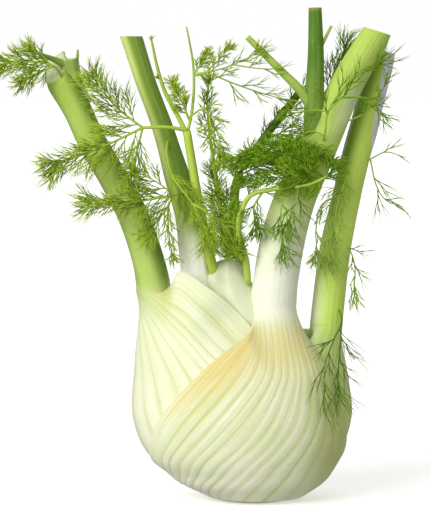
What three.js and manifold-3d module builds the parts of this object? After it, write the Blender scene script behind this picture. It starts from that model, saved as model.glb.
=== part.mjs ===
// A fennel bulb with its cut stalks and feathery leaves, standing on its trimmed root end.
// Millimetres, +Z up. The origin is the centre of the flat root cut, and -Y is the front.
// Each leaf is one solid: a sheath that wraps the bulb and the stalk that grows out of it.
// The sheaths lie over each other like those of the real plant, a hair's gap apart.

import * as THREE from "three";
import { mergeVertices } from "three/addons/utils/BufferGeometryUtils.js";
import Module from "manifold-3d";

const wasm = await Module();
wasm.setup();

// Driving dimensions
const bulbWidth = 100.7;
const bulbDepth = 69;
const layerGap = 0.3; // between two pieces that touch
const cutGap = 0.36; // the same, cut into the covered leaves
const layerStep = 1.2; // each sheath stands this far proud of the one it covers
const rimThickness = 0.9; // a sheath's thin margin
const rootCutRadius = 16;
const rootHeight = 2.9;
const needleRadius = 0.58; // a leaflet at its root
const stemSides = 4;
const threadRadius = [0.8, 0.5]; // a spray's own stem at its root and tip, unless it gives one

const vector = (x = 0, y = 0, z = 0) => new THREE.Vector3(x, y, z);
const radians = THREE.MathUtils.degToRad;
const clamp01 = (x) => Math.min(1, Math.max(0, x));
const smooth = (x) => clamp01(x) ** 2 * (3 - 2 * clamp01(x));
const mix = (a, b, t) => a + (b - a) * t;

// A repeatable draw between 0 and 1.
function seeded(seed) {
  let state = seed;
  return () => {
    state = (state + 0x6d2b79f5) | 0;
    let t = Math.imul(state ^ (state >>> 15), 1 | state);
    t = (t + Math.imul(t ^ (t >>> 7), 61 | t)) ^ t;
    return ((t ^ (t >>> 14)) >>> 0) / 4294967296;
  };
}

// A smooth curve through keys of [place, value, value, ...].
function track(keys, at) {
  const last = keys.length - 1;
  const x = Math.min(keys[last][0], Math.max(keys[0][0], at));
  let i = 0;
  while (i < last - 1 && x > keys[i + 1][0]) i++;
  const [p, a, b, q] = [keys[Math.max(0, i - 1)], keys[i], keys[i + 1], keys[Math.min(last, i + 2)]];
  const span = b[0] - a[0];
  const t = (x - a[0]) / span;
  return a.slice(1).map((start, k) => {
    const end = b[k + 1];
    const slopeA = p === a ? (end - start) / span : (end - p[k + 1]) / (b[0] - p[0]);
    const slopeB = q === b ? (end - start) / span : (q[k + 1] - start) / (q[0] - a[0]);
    return (
      start * (1 + 2 * t) * (1 - t) ** 2 +
      span * slopeA * t * (1 - t) ** 2 +
      end * t * t * (3 - 2 * t) -
      span * slopeB * t * t * (1 - t)
    );
  });
}

// The bulb's outer form: height, centre's shift, half width and half depth as shares of the greatest.
const bulbForm = [
  [0, 0, 0.316, 0.43],
  [2.5, 1.2, 0.376, 0.51],
  [5, 0.9, 0.472, 0.585],
  [10, -0.7, 0.645, 0.73],
  [15, -1.9, 0.742, 0.82],
  [20, -3.7, 0.838, 0.895],
  [25, -4.1, 0.908, 0.945],
  [32, -4.3, 0.964, 0.985],
  [40, -4.5, 0.996, 1.0],
  [50, -4.8, 0.989, 0.985],
  [60, -4.8, 0.968, 0.93],
  [70, -6.0, 0.935, 0.845],
  [80, -6.8, 0.904, 0.74],
  [90, -6.9, 0.893, 0.63],
  [100, -7.0, 0.878, 0.53],
  [112, -7.1, 0.859, 0.44],
];

function bulbSection(z) {
  const [shift, width, depth] = track(bulbForm, z);
  return { shift, a: (width * bulbWidth) / 2, b: (depth * bulbDepth) / 2 };
}

// A point on the bulb, phi degrees round from the front towards +X, moved out along the surface's normal.
function onBulb(phi, z, out) {
  const at = (p, h) => {
    const s = bulbSection(h);
    return vector(s.shift + s.a * Math.sin(radians(p)), -s.b * Math.cos(radians(p)), h);
  };
  const step = 0.5;
  const round = at(phi + step, z).sub(at(phi - step, z));
  const up = at(phi, z + step).sub(at(phi, Math.max(0, z - step)));
  const normal = round.cross(up).normalize();
  return at(phi, z).addScaledVector(normal, out);
}

// Solids

function closedSolid(vertices, triangles) {
  const geometry = new THREE.BufferGeometry();
  geometry.setAttribute("position", new THREE.Float32BufferAttribute(vertices.flatMap((v) => v.toArray()), 3));
  geometry.setIndex(triangles.flat());
  const merged = mergeVertices(geometry, 1e-5);
  return new wasm.Manifold(
    new wasm.Mesh({
      numProp: 3,
      vertProperties: new Float32Array(merged.attributes.position.array),
      triVerts: new Uint32Array(merged.index.array),
    }),
  );
}

// Fills the band between two rows of vertices, row by row. Each vertex carries its place along the row.
function band(low, high) {
  const triangles = [];
  let [i, j] = [0, 0];
  while (i + 1 < low.length || j + 1 < high.length) {
    const stepLow = j + 1 >= high.length || (i + 1 < low.length && low[i + 1].place <= high[j + 1].place);
    if (stepLow) {
      triangles.push([low[i].index, low[i + 1].index, high[j].index]);
      i++;
    } else {
      triangles.push([low[i].index, high[j + 1].index, high[j].index]);
      j++;
    }
  }
  return triangles;
}

// Joins rings of points into one closed skin. A ring is { points, places }, with places from 0 to 1 round it.
// The first ring is closed across its two sides where it has any, and else from its middle.
function loft(rings) {
  const vertices = [];
  const rows = rings.map(({ points, places }) => {
    const first = vertices.length;
    vertices.push(...points);
    const row = places.map((place, i) => ({ index: first + i, place }));
    return [...row, { index: first, place: 1 + places[0] }];
  });
  const triangles = rows.slice(1).flatMap((row, r) => band(rows[r], row));
  const fan = (row, ring) => {
    const centre = ring.points.reduce((sum, p) => sum.add(p), vector(0, 0, 0)).divideScalar(ring.points.length);
    const middle = vertices.push(centre) - 1;
    return row.slice(1).map(({ index }, i) => [row[i].index, index, middle]);
  };
  const { outerCount } = rings[0];
  if (outerCount) {
    const outer = rows[0].slice(0, outerCount);
    const inner = rows[0].slice(outerCount, -1).map(({ index, place }) => ({ index, place: 1 - place }));
    triangles.push(...band(inner.reverse(), outer));
  } else {
    triangles.push(...fan(rows[0], rings[0]).map(([a, b, c]) => [b, a, c]));
  }
  triangles.push(...fan(rows.at(-1), rings.at(-1)));
  const solid = closedSolid(vertices, triangles);
  return solid.volume() < 0 ? closedSolid(vertices, triangles.map(([a, b, c]) => [a, c, b])) : solid;
}

// Takes out the edges and slivers too small for the shape, which joins and cuts leave behind.
function tidied(solid, shortEdge, flatHeight) {
  const mesh = solid.getMesh();
  const points = Array.from({ length: mesh.numVert }, (_, i) => vector(...mesh.vertProperties.slice(3 * i, 3 * i + 3)));
  let faces = Array.from({ length: mesh.numTri }, (_, i) => [...mesh.triVerts.slice(3 * i, 3 * i + 3)]);
  for (let pass = 0; pass < 12; pass++) {
    const across = new Map();
    const around = new Map();
    const key = (a, b) => `${a} ${b}`;
    faces.forEach((face, f) =>
      face.forEach((a, k) => {
        across.set(key(a, face[(k + 1) % 3]), f);
        if (!around.has(a)) around.set(a, new Set());
        around.get(a).add(face[(k + 1) % 3]).add(face[(k + 2) % 3]);
      }),
    );
    const busy = new Set();
    const moved = new Map();
    const gone = new Set();
    const added = [];
    faces.forEach((face, f) => {
      if (gone.has(f) || face.some((v) => busy.has(v))) return;
      const sides = face.map((a, k) => ({ a, b: face[(k + 1) % 3], c: face[(k + 2) % 3] }));
      sides.forEach((side) => (side.long = points[side.a].distanceTo(points[side.b])));
      sides.sort((p, q) => p.long - q.long);
      const { a, b } = sides[0];
      const shared = [...around.get(a)].filter((v) => around.get(b).has(v));
      const nearby = [...around.get(a), ...around.get(b)];
      if (sides[0].long < shortEdge && shared.length === 2 && !nearby.some((v) => busy.has(v))) {
        moved.set(b, a);
        nearby.forEach((v) => busy.add(v));
        return;
      }
      const edge1 = points[face[1]].clone().sub(points[face[0]]);
      const edge2 = points[face[2]].clone().sub(points[face[0]]);
      const longest = sides[2];
      if (edge1.cross(edge2).length() / longest.long > flatHeight) return;
      const other = across.get(key(longest.b, longest.a));
      const far = faces[other].find((v) => v !== longest.a && v !== longest.b);
      if (gone.has(other) || busy.has(far) || around.get(longest.c).has(far)) return;
      gone.add(f).add(other);
      added.push([longest.a, far, longest.c], [far, longest.b, longest.c]);
      [longest.a, longest.b, longest.c, far].forEach((v) => busy.add(v));
    });
    faces = faces.filter((_, f) => !gone.has(f)).concat(added);
    faces = faces.map((face) => face.map((v) => moved.get(v) ?? v));
    faces = faces.filter(([a, b, c]) => a !== b && b !== c && a !== c);
    if (!moved.size && !gone.size) break;
  }
  const used = [...new Set(faces.flat())];
  const place = new Map(used.map((v, i) => [v, i]));
  return new wasm.Manifold(
    new wasm.Mesh({
      numProp: 3,
      vertProperties: new Float32Array(used.flatMap((v) => points[v].toArray())),
      triVerts: new Uint32Array(faces.flat().map((v) => place.get(v))),
    }),
  );
}

const largestOf = (solid) => solid.decompose().sort((a, b) => b.volume() - a.volume())[0];

// Stalks

// Keys of a stalk: [height, x, y, half width, half depth].
function stalkRow(stalk, height) {
  const [x, y, wide, deep] = track(stalk.keys, height);
  const [x2, y2] = track(stalk.keys, height + 1);
  const [x1, y1] = track(stalk.keys, height - 1);
  const first = stalk.keys[0][0];
  const below = Math.min(0, height - first);
  const [xa, ya] = track(stalk.keys, first + 2);
  const lean = below < 0 ? vector((xa - x) / 2, (ya - y) / 2, 1) : vector(x2 - x1, y2 - y1, 2);
  const axis = lean.normalize();
  const centre = vector(x, y, first + Math.max(0, height - first)).addScaledVector(axis, below);
  const outward = vector(...stalk.outward, 0);
  outward.addScaledVector(axis, -outward.dot(axis)).normalize();
  const across = axis.clone().cross(outward).normalize();
  return { centre, axis, outward, across, wide, deep };
}

// A point on the stalk's skin. The ring's outer side runs over places 0 to 1 and its inner side back over 1 to 2.
function onStalk(stalk, height, place, grow) {
  const row = stalkRow(stalk, height);
  const outer = place <= 1;
  const span = outer ? mix(-118, 118, place) : mix(118, 242, place - 1);
  const angle = radians(span);
  const groove = outer ? 0 : stalk.groove * Math.sin(Math.PI * (place - 1)) ** 2;
  const along = (row.wide * (1 - groove) + grow) * Math.cos(angle);
  const sideways = (row.deep + grow) * Math.sin(angle) * stalk.turn;
  const slant = stalk.slant ? smooth((height - stalk.top + 16) / 16) * stalk.slant * Math.cos(angle) : 0;
  return row.centre
    .clone()
    .addScaledVector(row.outward, along)
    .addScaledVector(row.across, sideways)
    .addScaledVector(row.axis, slant);
}

// Sheaths: each vein is a track of [along, phi, height], at a place across the leaf from one margin to the other.

function onSheath(leaf, place, along) {
  const keys = leaf.veins.map(([across, path]) => [across, ...track(path, along)]);
  return track(keys, place);
}

// The raised ribs run along the veins and fade at the margins and into the stalk.
function ribHeight(leaf, place, along) {
  const wave = Math.cos(2 * Math.PI * leaf.ribs * place);
  const margins = smooth(place / 0.1) * smooth((1 - place) / 0.1);
  return leaf.ribRise * wave * margins * smooth(along / 0.16) * smooth((1.02 - along) / 0.25);
}

function sheathPoint(leaf, place, along, out) {
  const [phi, z] = onSheath(leaf, place, along);
  return onBulb(phi, z, out);
}

// Where a sheath's upper margin runs in under the leaf that covers it.
function tuckDepth(leaf, place, along) {
  return leaf.tuck * smooth(1 - place / 0.3) * smooth((along - 0.5) / 0.14) * smooth((0.85 - along) / 0.1);
}

function leafRing(leaf, along, counts, grow) {
  const points = [];
  const places = [];
  const put = (across, inner) => {
    const lift = leaf.step * layerStep - tuckDepth(leaf, across, along);
    const thick = mix(rimThickness, leaf.thickness, Math.sin(Math.PI * across) ** 0.7);
    const out = inner ? lift - thick - grow : lift + ribHeight(leaf, across, along) + grow;
    const onSkin = sheathPoint(leaf, across, along, out);
    if (grow && (across === 0 || across === 1)) {
      const inside = sheathPoint(leaf, across ? 0.97 : 0.03, along, out);
      onSkin.addScaledVector(onSkin.clone().sub(inside).normalize(), 4 * grow);
    }
    const stalkPlace = inner ? 2 - across : across;
    const height = leaf.stalk.keys[0][0] - (1 - along) * leaf.neckLength;
    const start = leaf.blendFrom + leaf.lobe * smooth(1 - across / 0.4);
    const share = smooth((along - start) / (1 - start));
    points.push(onSkin.lerp(onStalk(leaf.stalk, height, stalkPlace, grow), share));
    places.push((inner ? 2 - across : across) / 2);
  };
  for (let i = 0; i <= counts.outer; i++) put(i / counts.outer, false);
  for (let i = 0; i <= counts.inner; i++) put(1 - i / counts.inner, true);
  return { points, places, outerCount: counts.outer + 1 };
}

function stalkRing(stalk, height, sides, grow) {
  const places = [];
  const points = [];
  for (let i = 0; i < sides; i++) {
    const place = (2 * i) / sides;
    points.push(onStalk(stalk, height, place, grow));
    places.push(place / 2);
  }
  return { points, places };
}

function stalkHeights(stalk, from, step) {
  const count = Math.max(2, Math.round((stalk.top - from) / step));
  return Array.from({ length: count + 1 }, (_, i) => mix(from, stalk.top, i / count));
}

// The whole leaf, or with grow the slightly larger body that is cut out of the leaves it covers.
function leafSolid(leaf, grow = 0) {
  const counts = { outer: leaf.ribs * 2, inner: 10 };
  const rings = leaf.rows.map((along) => leafRing(leaf, along, counts, grow));
  if (grow) {
    const [low, next] = rings;
    const points = low.points.map((p, i) => p.clone().addScaledVector(p.clone().sub(next.points[i]).normalize(), grow));
    rings[0] = { ...low, points };
  }
  const first = leaf.stalk.keys[0][0];
  stalkHeights(leaf.stalk, first + 4, 13).forEach((height) => {
    rings.push(stalkRing(leaf.stalk, height, 12, grow));
  });
  return loft(rings);
}

// Keys of a plain body of revolution-like rings: [height, x, y, half width, half depth].
function bodySolid(body, grow = 0) {
  const heights = body.heights ?? stalkHeights({ top: body.top }, body.keys[0][0], body.step);
  const rings = heights.map((height) => {
    const [x, y, wide, deep] = track(body.keys, height);
    const places = Array.from({ length: 16 }, (_, i) => i / 16);
    const points = places.map((turn) => {
      const angle = 2 * Math.PI * turn;
      const crease = body.crease ? 1 - body.crease * smooth((height - body.creaseFrom) / 8) * dent(angle) : 1;
      return vector(
        x + (wide * crease + grow) * Math.sin(angle),
        y - (deep * crease + grow) * Math.cos(angle),
        height,
      );
    });
    return { points, places };
  });
  return loft(rings);
}

// A fold in the front of the heart leaf's hood.
const dent = (angle) => Math.max(0, Math.cos(angle)) ** 12;

// The leaves, from the outermost in. Heights and places come from the plant's own proportions.

const frontRightLeaf = {
  step: 2,
  tuck: 0,
  thickness: 5,
  ribs: 15,
  ribRise: 0.34,
  blendFrom: 0.7,
  lobe: 0.2,
  neckLength: 34,
  rows: [0, 0.07, 0.15, 0.24, 0.34, 0.45, 0.56, 0.67, 0.77, 0.86, 0.93, 1],
  veins: [
    [0, [[0, -135, 3.3], [0.15, -91, 14], [0.32, -64, 26], [0.52, -45, 42], [0.74, -20, 63], [0.86, -3, 73.5], [1, 17, 84]]],
    [0.25, [[0, -104, 3.3], [0.15, -61, 12], [0.32, -32, 25], [0.52, -10, 42], [0.76, 9, 64], [1, 19, 87]]],
    [0.5, [[0, -64, 3.3], [0.15, -27, 12], [0.32, -1, 25], [0.52, 15, 42], [0.76, 25, 64], [1, 26, 90]]],
    [0.75, [[0, 2, 3.3], [0.15, 18, 12], [0.32, 31, 25], [0.52, 39, 42], [0.76, 39, 64], [1, 33, 89]]],
    [1, [[0, 108, 3.3], [0.15, 92, 14], [0.32, 74, 26], [0.52, 60, 43], [0.76, 51, 62], [1, 42, 84]]],
  ],
  stalk: {
    outward: [0.25, -1],
    turn: 1,
    groove: 0.25,
    top: 215,
    keys: [
      [92, 9.2, -10, 10.2, 10.6],
      [101, 10.1, -10, 10, 10.3],
      [122, 13.8, -9.5, 9.8, 10.1],
      [140, 19.3, -9, 9, 9.4],
      [156, 26.7, -8.5, 8.2, 8.7],
      [173, 34.5, -8, 7.6, 7.9],
      [190, 41.9, -7, 7.1, 7.5],
      [205, 50.6, -6, 6.8, 7.2],
      [215, 56.6, -5.5, 6.4, 6.8],
    ],
  },
};

const leftLeaf = {
  step: 1,
  tuck: 4.5,
  thickness: 7,
  ribs: 15,
  ribRise: 0.36,
  blendFrom: 0.7,
  lobe: 0.27,
  neckLength: 30,
  rows: [0, 0.07, 0.14, 0.22, 0.31, 0.41, 0.52, 0.64, 0.75, 0.84, 0.91, 0.96, 1],
  veins: [
    [0, [[0, 112, 3.3], [0.14, 88, 14], [0.3, 62, 32], [0.48, 36, 55], [0.64, 15, 76], [0.76, -1, 89.5], [0.85, -17, 98.5], [0.92, -31, 105], [0.965, -39, 105.5], [1, -43, 93.5]]],
    [0.2, [[0, 80, 3.3], [0.14, 62, 14], [0.3, 38, 30], [0.48, 14, 50], [0.64, -6, 65], [0.76, -20, 76], [0.86, -32, 85], [0.94, -41, 91], [1, -50, 93.5]]],
    [0.4, [[0, 30, 3.3], [0.14, 20, 14], [0.3, 5, 28], [0.48, -12, 45], [0.64, -25, 60], [0.76, -36, 72], [0.86, -46, 82], [0.94, -54, 89], [1, -60, 93.5]]],
    [0.6, [[0, -30, 3.3], [0.14, -36, 12], [0.3, -44, 25], [0.48, -52, 42], [0.64, -60, 58], [0.76, -67, 70], [0.86, -74, 80], [0.94, -80, 87], [1, -84, 93.5]]],
    [0.8, [[0, -130, 3.3], [0.14, -126, 12], [0.3, -121, 26], [0.48, -116, 42], [0.64, -112, 58], [0.76, -110, 70], [0.86, -109, 80], [0.94, -109, 87], [1, -110, 93.5]]],
    [1, [[0, -248, 3.3], [0.14, -232, 14], [0.3, -214, 30], [0.48, -197, 48], [0.64, -182, 62], [0.76, -170, 72], [0.86, -158, 81], [0.94, -147, 88], [1, -138, 93.5]]],
  ],
  stalk: {
    outward: [-1, 0],
    turn: -1,
    groove: 0.25,
    top: 199,
    slant: -5,
    keys: [
      [96.6, -44.9, 0, 9, 9.8],
      [99.5, -44.95, 0, 8.9, 9.7],
      [111, -47.4, 0, 8.3, 9.2],
      [129, -53.4, 0.5, 8, 8.8],
      [143.5, -60.7, 1, 7.6, 8.4],
      [167, -74.1, 2, 7.3, 8],
      [179.5, -79.8, 2.5, 7.4, 8],
      [192, -86.9, 3, 7.6, 8],
      [199, -90.2, 3, 7.6, 8],
    ],
  },
};

const rightLeaf = {
  step: 0,
  tuck: 0,
  thickness: 9,
  ribs: 13,
  ribRise: 0.32,
  blendFrom: 0.52,
  lobe: 0,
  neckLength: 26,
  rows: [0, 0.08, 0.17, 0.27, 0.38, 0.5, 0.62, 0.74, 0.85, 0.93, 1],
  veins: [
    [0, [[0, -55, 3.3], [0.15, -35, 14], [0.32, -15, 28], [0.52, 5, 45], [0.76, 22, 64], [1, 40, 80]]],
    [0.25, [[0, 5, 3.3], [0.15, 20, 12], [0.32, 34, 26], [0.52, 46, 45], [0.76, 55, 64], [1, 62, 80]]],
    [0.5, [[0, 70, 3.3], [0.15, 74, 12], [0.32, 78, 26], [0.52, 82, 45], [0.76, 86, 64], [1, 90, 81]]],
    [0.75, [[0, 150, 3.3], [0.15, 145, 12], [0.32, 140, 26], [0.52, 135, 45], [0.76, 128, 64], [1, 118, 82]]],
    [1, [[0, 262, 3.3], [0.15, 240, 20], [0.32, 218, 42], [0.52, 198, 62], [0.76, 170, 82], [1, 140, 83]]],
  ],
  stalk: {
    outward: [1, 0.1],
    turn: 1,
    groove: 0.25,
    top: 206,
    keys: [
      [80, 33.1, 3, 8.3, 9],
      [89, 34, 4, 8.2, 8.8],
      [115, 37.3, 6, 7.9, 8.4],
      [142, 43.2, 8, 7.2, 7.8],
      [159, 47.2, 9, 7.2, 7.6],
      [171, 50.6, 9.6, 7.3, 7.6],
      [184, 54, 10.4, 7, 7.3],
      [195, 58, 11, 6.6, 7],
      [206, 62.4, 11, 6.3, 6.8],
    ],
  },
};

// A long slanting slice took the front right side off the right stalk's top: three points of its plane.
const rightSlice = [
  [61.2, 4.9, 206],
  [66.2, 16, 206],
  [55.3, 6.0, 165],
];

// The block that lies beyond that plane, to the right.
function slicedAway(corners) {
  const [a, b, c] = corners.map((p) => vector(...p));
  const up = a.clone().sub(c).normalize();
  const out = up.clone().cross(b.clone().sub(a)).normalize();
  out.multiplyScalar(Math.sign(out.x));
  const side = up.clone().cross(out);
  const size = 100;
  const box = new THREE.BoxGeometry(size, size, size);
  box.deleteAttribute("normal");
  box.deleteAttribute("uv");
  const middle = a.clone().addScaledVector(out, size / 2);
  box.applyMatrix4(new THREE.Matrix4().makeBasis(side, up, out).setPosition(middle));
  return closedSolid(
    Array.from({ length: 24 }, (_, i) => vector().fromBufferAttribute(box.attributes.position, i)),
    Array.from({ length: 12 }, (_, i) => [...box.index.array.slice(3 * i, 3 * i + 3)]),
  );
}

// The inner left leaf and the heart leaf fill the middle and show only above the outer sheaths.
const innerLeftLeaf = {
  top: 213,
  step: 10,
  keys: [
    [5, -2, 0, 10, 12],
    [18, -8, 0, 17, 21],
    [35, -14, 0, 20, 24],
    [55, -19, 0, 19, 22],
    [75, -23.5, 0, 14.5, 17],
    [90, -25.2, 0, 9.6, 11],
    [101, -25.3, 0, 8, 9],
    [117, -26.7, 0, 7.8, 8.6],
    [131, -29, 0.4, 7.1, 7.8],
    [148, -34.5, 0.8, 6.3, 7],
    [160.5, -38.2, 1, 5.5, 6.2],
    [173.5, -42.3, 1.2, 5.1, 5.8],
    [192, -49.2, 1.6, 4.9, 5.4],
    [213, -55.9, 2, 5.2, 5.6],
  ],
};

const heartLeaf = {
  top: 111,
  heights: [5, 12, 20, 30, 42, 55, 66, 76, 84, 91, 97, 102, 105.5, 108.3, 110.2, 111],
  crease: 0.17,
  creaseFrom: 96,
  keys: [
    [5, 2, 0, 12, 14],
    [18, 4, 0, 26, 24],
    [35, 5, 0, 33, 28],
    [55, 3, 0, 33, 27],
    [72, -1, 0, 28, 22],
    [84, -5, -0.5, 20, 18],
    [94, -9.2, -1.5, 13.2, 14],
    [100, -11.2, -2.2, 10.8, 11.6],
    [104, -12, -2.8, 9.3, 9.8],
    [107.5, -12, -3.2, 7.4, 7.8],
    [110, -11.8, -3.4, 4.6, 4.9],
    [111, -11.7, -3.5, 2.2, 2.4],
  ],
};

// The trimmed stem at the bottom, which every leaf grows from. Its cut is the flat foot.
function rootSolid(grow = 0) {
  const profile = [
    [-grow, 0],
    [rootHeight - grow, 1],
    [rootHeight + grow, 1],
    [5.5 + grow, 0.62],
    [8 + grow, 0.3],
  ];
  const sides = 24;
  const s = bulbSection(rootHeight);
  const rings = profile.slice(0, grow ? 5 : 2).concat(grow ? [] : profile.slice(3)).map(([z, share], i) => {
    const [a, b] = i === 0 ? [rootCutRadius, rootCutRadius * 0.94] : [s.a * share, s.b * share];
    const shift = i === 0 ? 0 : s.shift;
    const places = Array.from({ length: sides }, (_, k) => k / sides);
    const points = places.map((turn) => {
      const angle = 2 * Math.PI * turn;
      return vector(shift + (a + grow) * Math.sin(angle), -(b + grow) * Math.cos(angle), z);
    });
    return { points, places };
  });
  return loft(rings);
}

// Fronds

// A straight tapered piece from a to b. Leaflets have three sides and end in a point.
function spike(from, to, radius, tipRadius, sides) {
  const axis = to.clone().sub(from).normalize();
  const side = Math.abs(axis.z) > 0.9 ? vector(1, 0, 0) : vector(0, 0, 1);
  const e1 = axis.clone().cross(side).normalize();
  const e2 = axis.clone().cross(e1);
  const ring = (centre, r) =>
    Array.from({ length: sides }, (_, i) => {
      const angle = (2 * Math.PI * i) / sides;
      return centre
        .clone()
        .addScaledVector(e1, r * Math.cos(angle))
        .addScaledVector(e2, r * Math.sin(angle));
    });
  const low = ring(from, radius);
  const high = tipRadius > 0 ? ring(to, tipRadius) : [to];
  const vertices = [...low, ...high];
  const triangles = [];
  for (let i = 1; i + 1 < sides; i++) triangles.push([0, i + 1, i]);
  for (let i = 0; i < sides; i++) {
    const next = (i + 1) % sides;
    if (tipRadius > 0) {
      triangles.push([i, next, sides + next], [i, sides + next, sides + i]);
    } else {
      triangles.push([i, next, sides]);
    }
  }
  if (tipRadius > 0) {
    for (let i = 1; i + 1 < sides; i++) triangles.push([sides, sides + i, sides + i + 1]);
  }
  const solid = closedSolid(vertices, triangles);
  return solid.volume() < 0 ? closedSolid(vertices, triangles.map(([a, b, c]) => [a, c, b])) : solid;
}

// Shortest distance between two straight pieces.
function pieceDistance(p, q) {
  const [d1, d2, r] = [p.b.clone().sub(p.a), q.b.clone().sub(q.a), p.a.clone().sub(q.a)];
  const [a, e, f, c, b] = [d1.dot(d1), d2.dot(d2), d2.dot(r), d1.dot(r), d1.dot(d2)];
  const denominator = a * e - b * b;
  let s = denominator > 1e-9 ? clamp01((b * f - c * e) / denominator) : 0;
  let t = (b * s + f) / e;
  if (t < 0) {
    t = 0;
    s = clamp01(-c / a);
  } else if (t > 1) {
    t = 1;
    s = clamp01((b - c) / a);
  }
  return p.a.clone().addScaledVector(d1, s).distanceTo(q.a.clone().addScaledVector(d2, t));
}

const placed = []; // every straight piece of foliage and stalk so far, with the node that it belongs to

function clearOfOthers(piece, node) {
  const roomy = 3.6 + piece.r;
  const insideBulb = [0, 0.5, 1].some((t) => {
    const p = piece.a.clone().lerp(piece.b, t);
    if (p.z > 104 || p.z < 0) return p.z < 3;
    const s = bulbSection(p.z);
    return ((p.x - s.shift) / (s.a + roomy)) ** 2 + (p.y / (s.b + roomy)) ** 2 < 1;
  });
  if (insideBulb) return false;
  return placed.every((q) => q.node === node || pieceDistance(piece, q) > piece.r + q.r + layerGap);
}

// The stalks as straight pieces, for that test.
function placeStalk(node, keys, from) {
  const heights = keys.map((k) => k[0]).filter((h) => h >= from);
  for (let i = 0; i + 1 < heights.length; i++) {
    const at = (h) => {
      const [x, y] = track(keys, h);
      return vector(x, y, h);
    };
    const [, , wide, deep] = track(keys, heights[i]);
    placed.push({ node, a: at(heights[i]), b: at(heights[i + 1]), r: Math.max(wide, deep) + 0.2 });
  }
}

const sprayPath = (spray) => new THREE.CatmullRomCurve3(spray.path.map((p) => vector(...p)));

// The stem of a spray, as short straight pieces that overlap a little.
function growStem(node, spray) {
  const path = sprayPath(spray);
  const bends = Math.max(2, Math.round(path.getLength() / 14));
  const [thick, thin] = spray.radius ?? threadRadius;
  return Array.from({ length: bends }, (_, i) => {
    const [a, b] = [path.getPointAt(i / bends), path.getPointAt((i + 1) / bends)];
    b.addScaledVector(b.clone().sub(a).normalize(), 0.2);
    return { a, b, r: mix(thick, thin, i / bends), tip: mix(thick, thin, (i + 1) / bends), sides: stemSides, node };
  });
}

// A spray's side branches, which carry pointed leaflets. One that would touch another node isn't grown.
function growSpray(pieces, node, spray, random) {
  const path = sprayPath(spray);
  const facing = vector(...(spray.facing ?? [0, -1, 0])).normalize();
  const leaflet = (from, direction, size) => {
    const to = from.clone().addScaledVector(direction, size);
    to.z -= droop * size;
    const piece = { a: from, b: to, r: needleRadius, tip: 0, sides: 3, node };
    if (!clearOfOthers(piece, node)) return null;
    pieces.push(piece);
    return piece;
  };
  const { branches, reach, leaflets = 2, depth = 0.9, droop = 0.06 } = spray;
  for (let i = 0; i < branches; i++) {
    const t = mix(spray.from ?? 0.2, 1, (i + 0.5) / branches);
    const base = path.getPointAt(t);
    const along = path.getTangentAt(t);
    const across = along.clone().cross(facing).normalize();
    const side = i % 2 ? 1 : -1;
    const spread = radians(mix(58, 30, t) * (0.85 + 0.3 * random()));
    const direction = along
      .clone()
      .multiplyScalar(Math.cos(spread))
      .addScaledVector(across, side * Math.sin(spread))
      .addScaledVector(facing, (random() - 0.45) * depth)
      .normalize();
    const size = reach * mix(1, 0.65, t) * (0.8 + 0.4 * random());
    const branch = leaflet(base, direction, size);
    if (!branch) continue;
    const turn = branch.b.clone().sub(branch.a).normalize();
    const sideways = turn.clone().cross(facing).normalize();
    for (let k = 0; k < leaflets; k++) {
      const start = branch.a.clone().lerp(branch.b, 0.28 + (0.4 * (k + random() * 0.5)) / leaflets);
      const lean = turn
        .clone()
        .addScaledVector(sideways, (k % 2 ? 0.7 : -0.7) * (0.75 + 0.4 * random()))
        .addScaledVector(facing, random() - 0.5)
        .normalize();
      leaflet(start, lean, size * 0.62);
    }
  }
  if (!branches) return;
  const end = path.getPointAt(1);
  const tangent = path.getTangentAt(1);
  const out = tangent.clone().cross(facing).normalize();
  for (let k = 0; k < (spray.tips ?? 3); k++) {
    const fan = (k - ((spray.tips ?? 3) - 1) / 2) * 0.45;
    const direction = tangent
      .clone()
      .addScaledVector(out, fan)
      .addScaledVector(facing, (random() - 0.5) * 0.5)
      .normalize();
    leaflet(end.clone().addScaledVector(tangent, -0.4), direction, reach * 0.65);
  }
}

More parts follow.
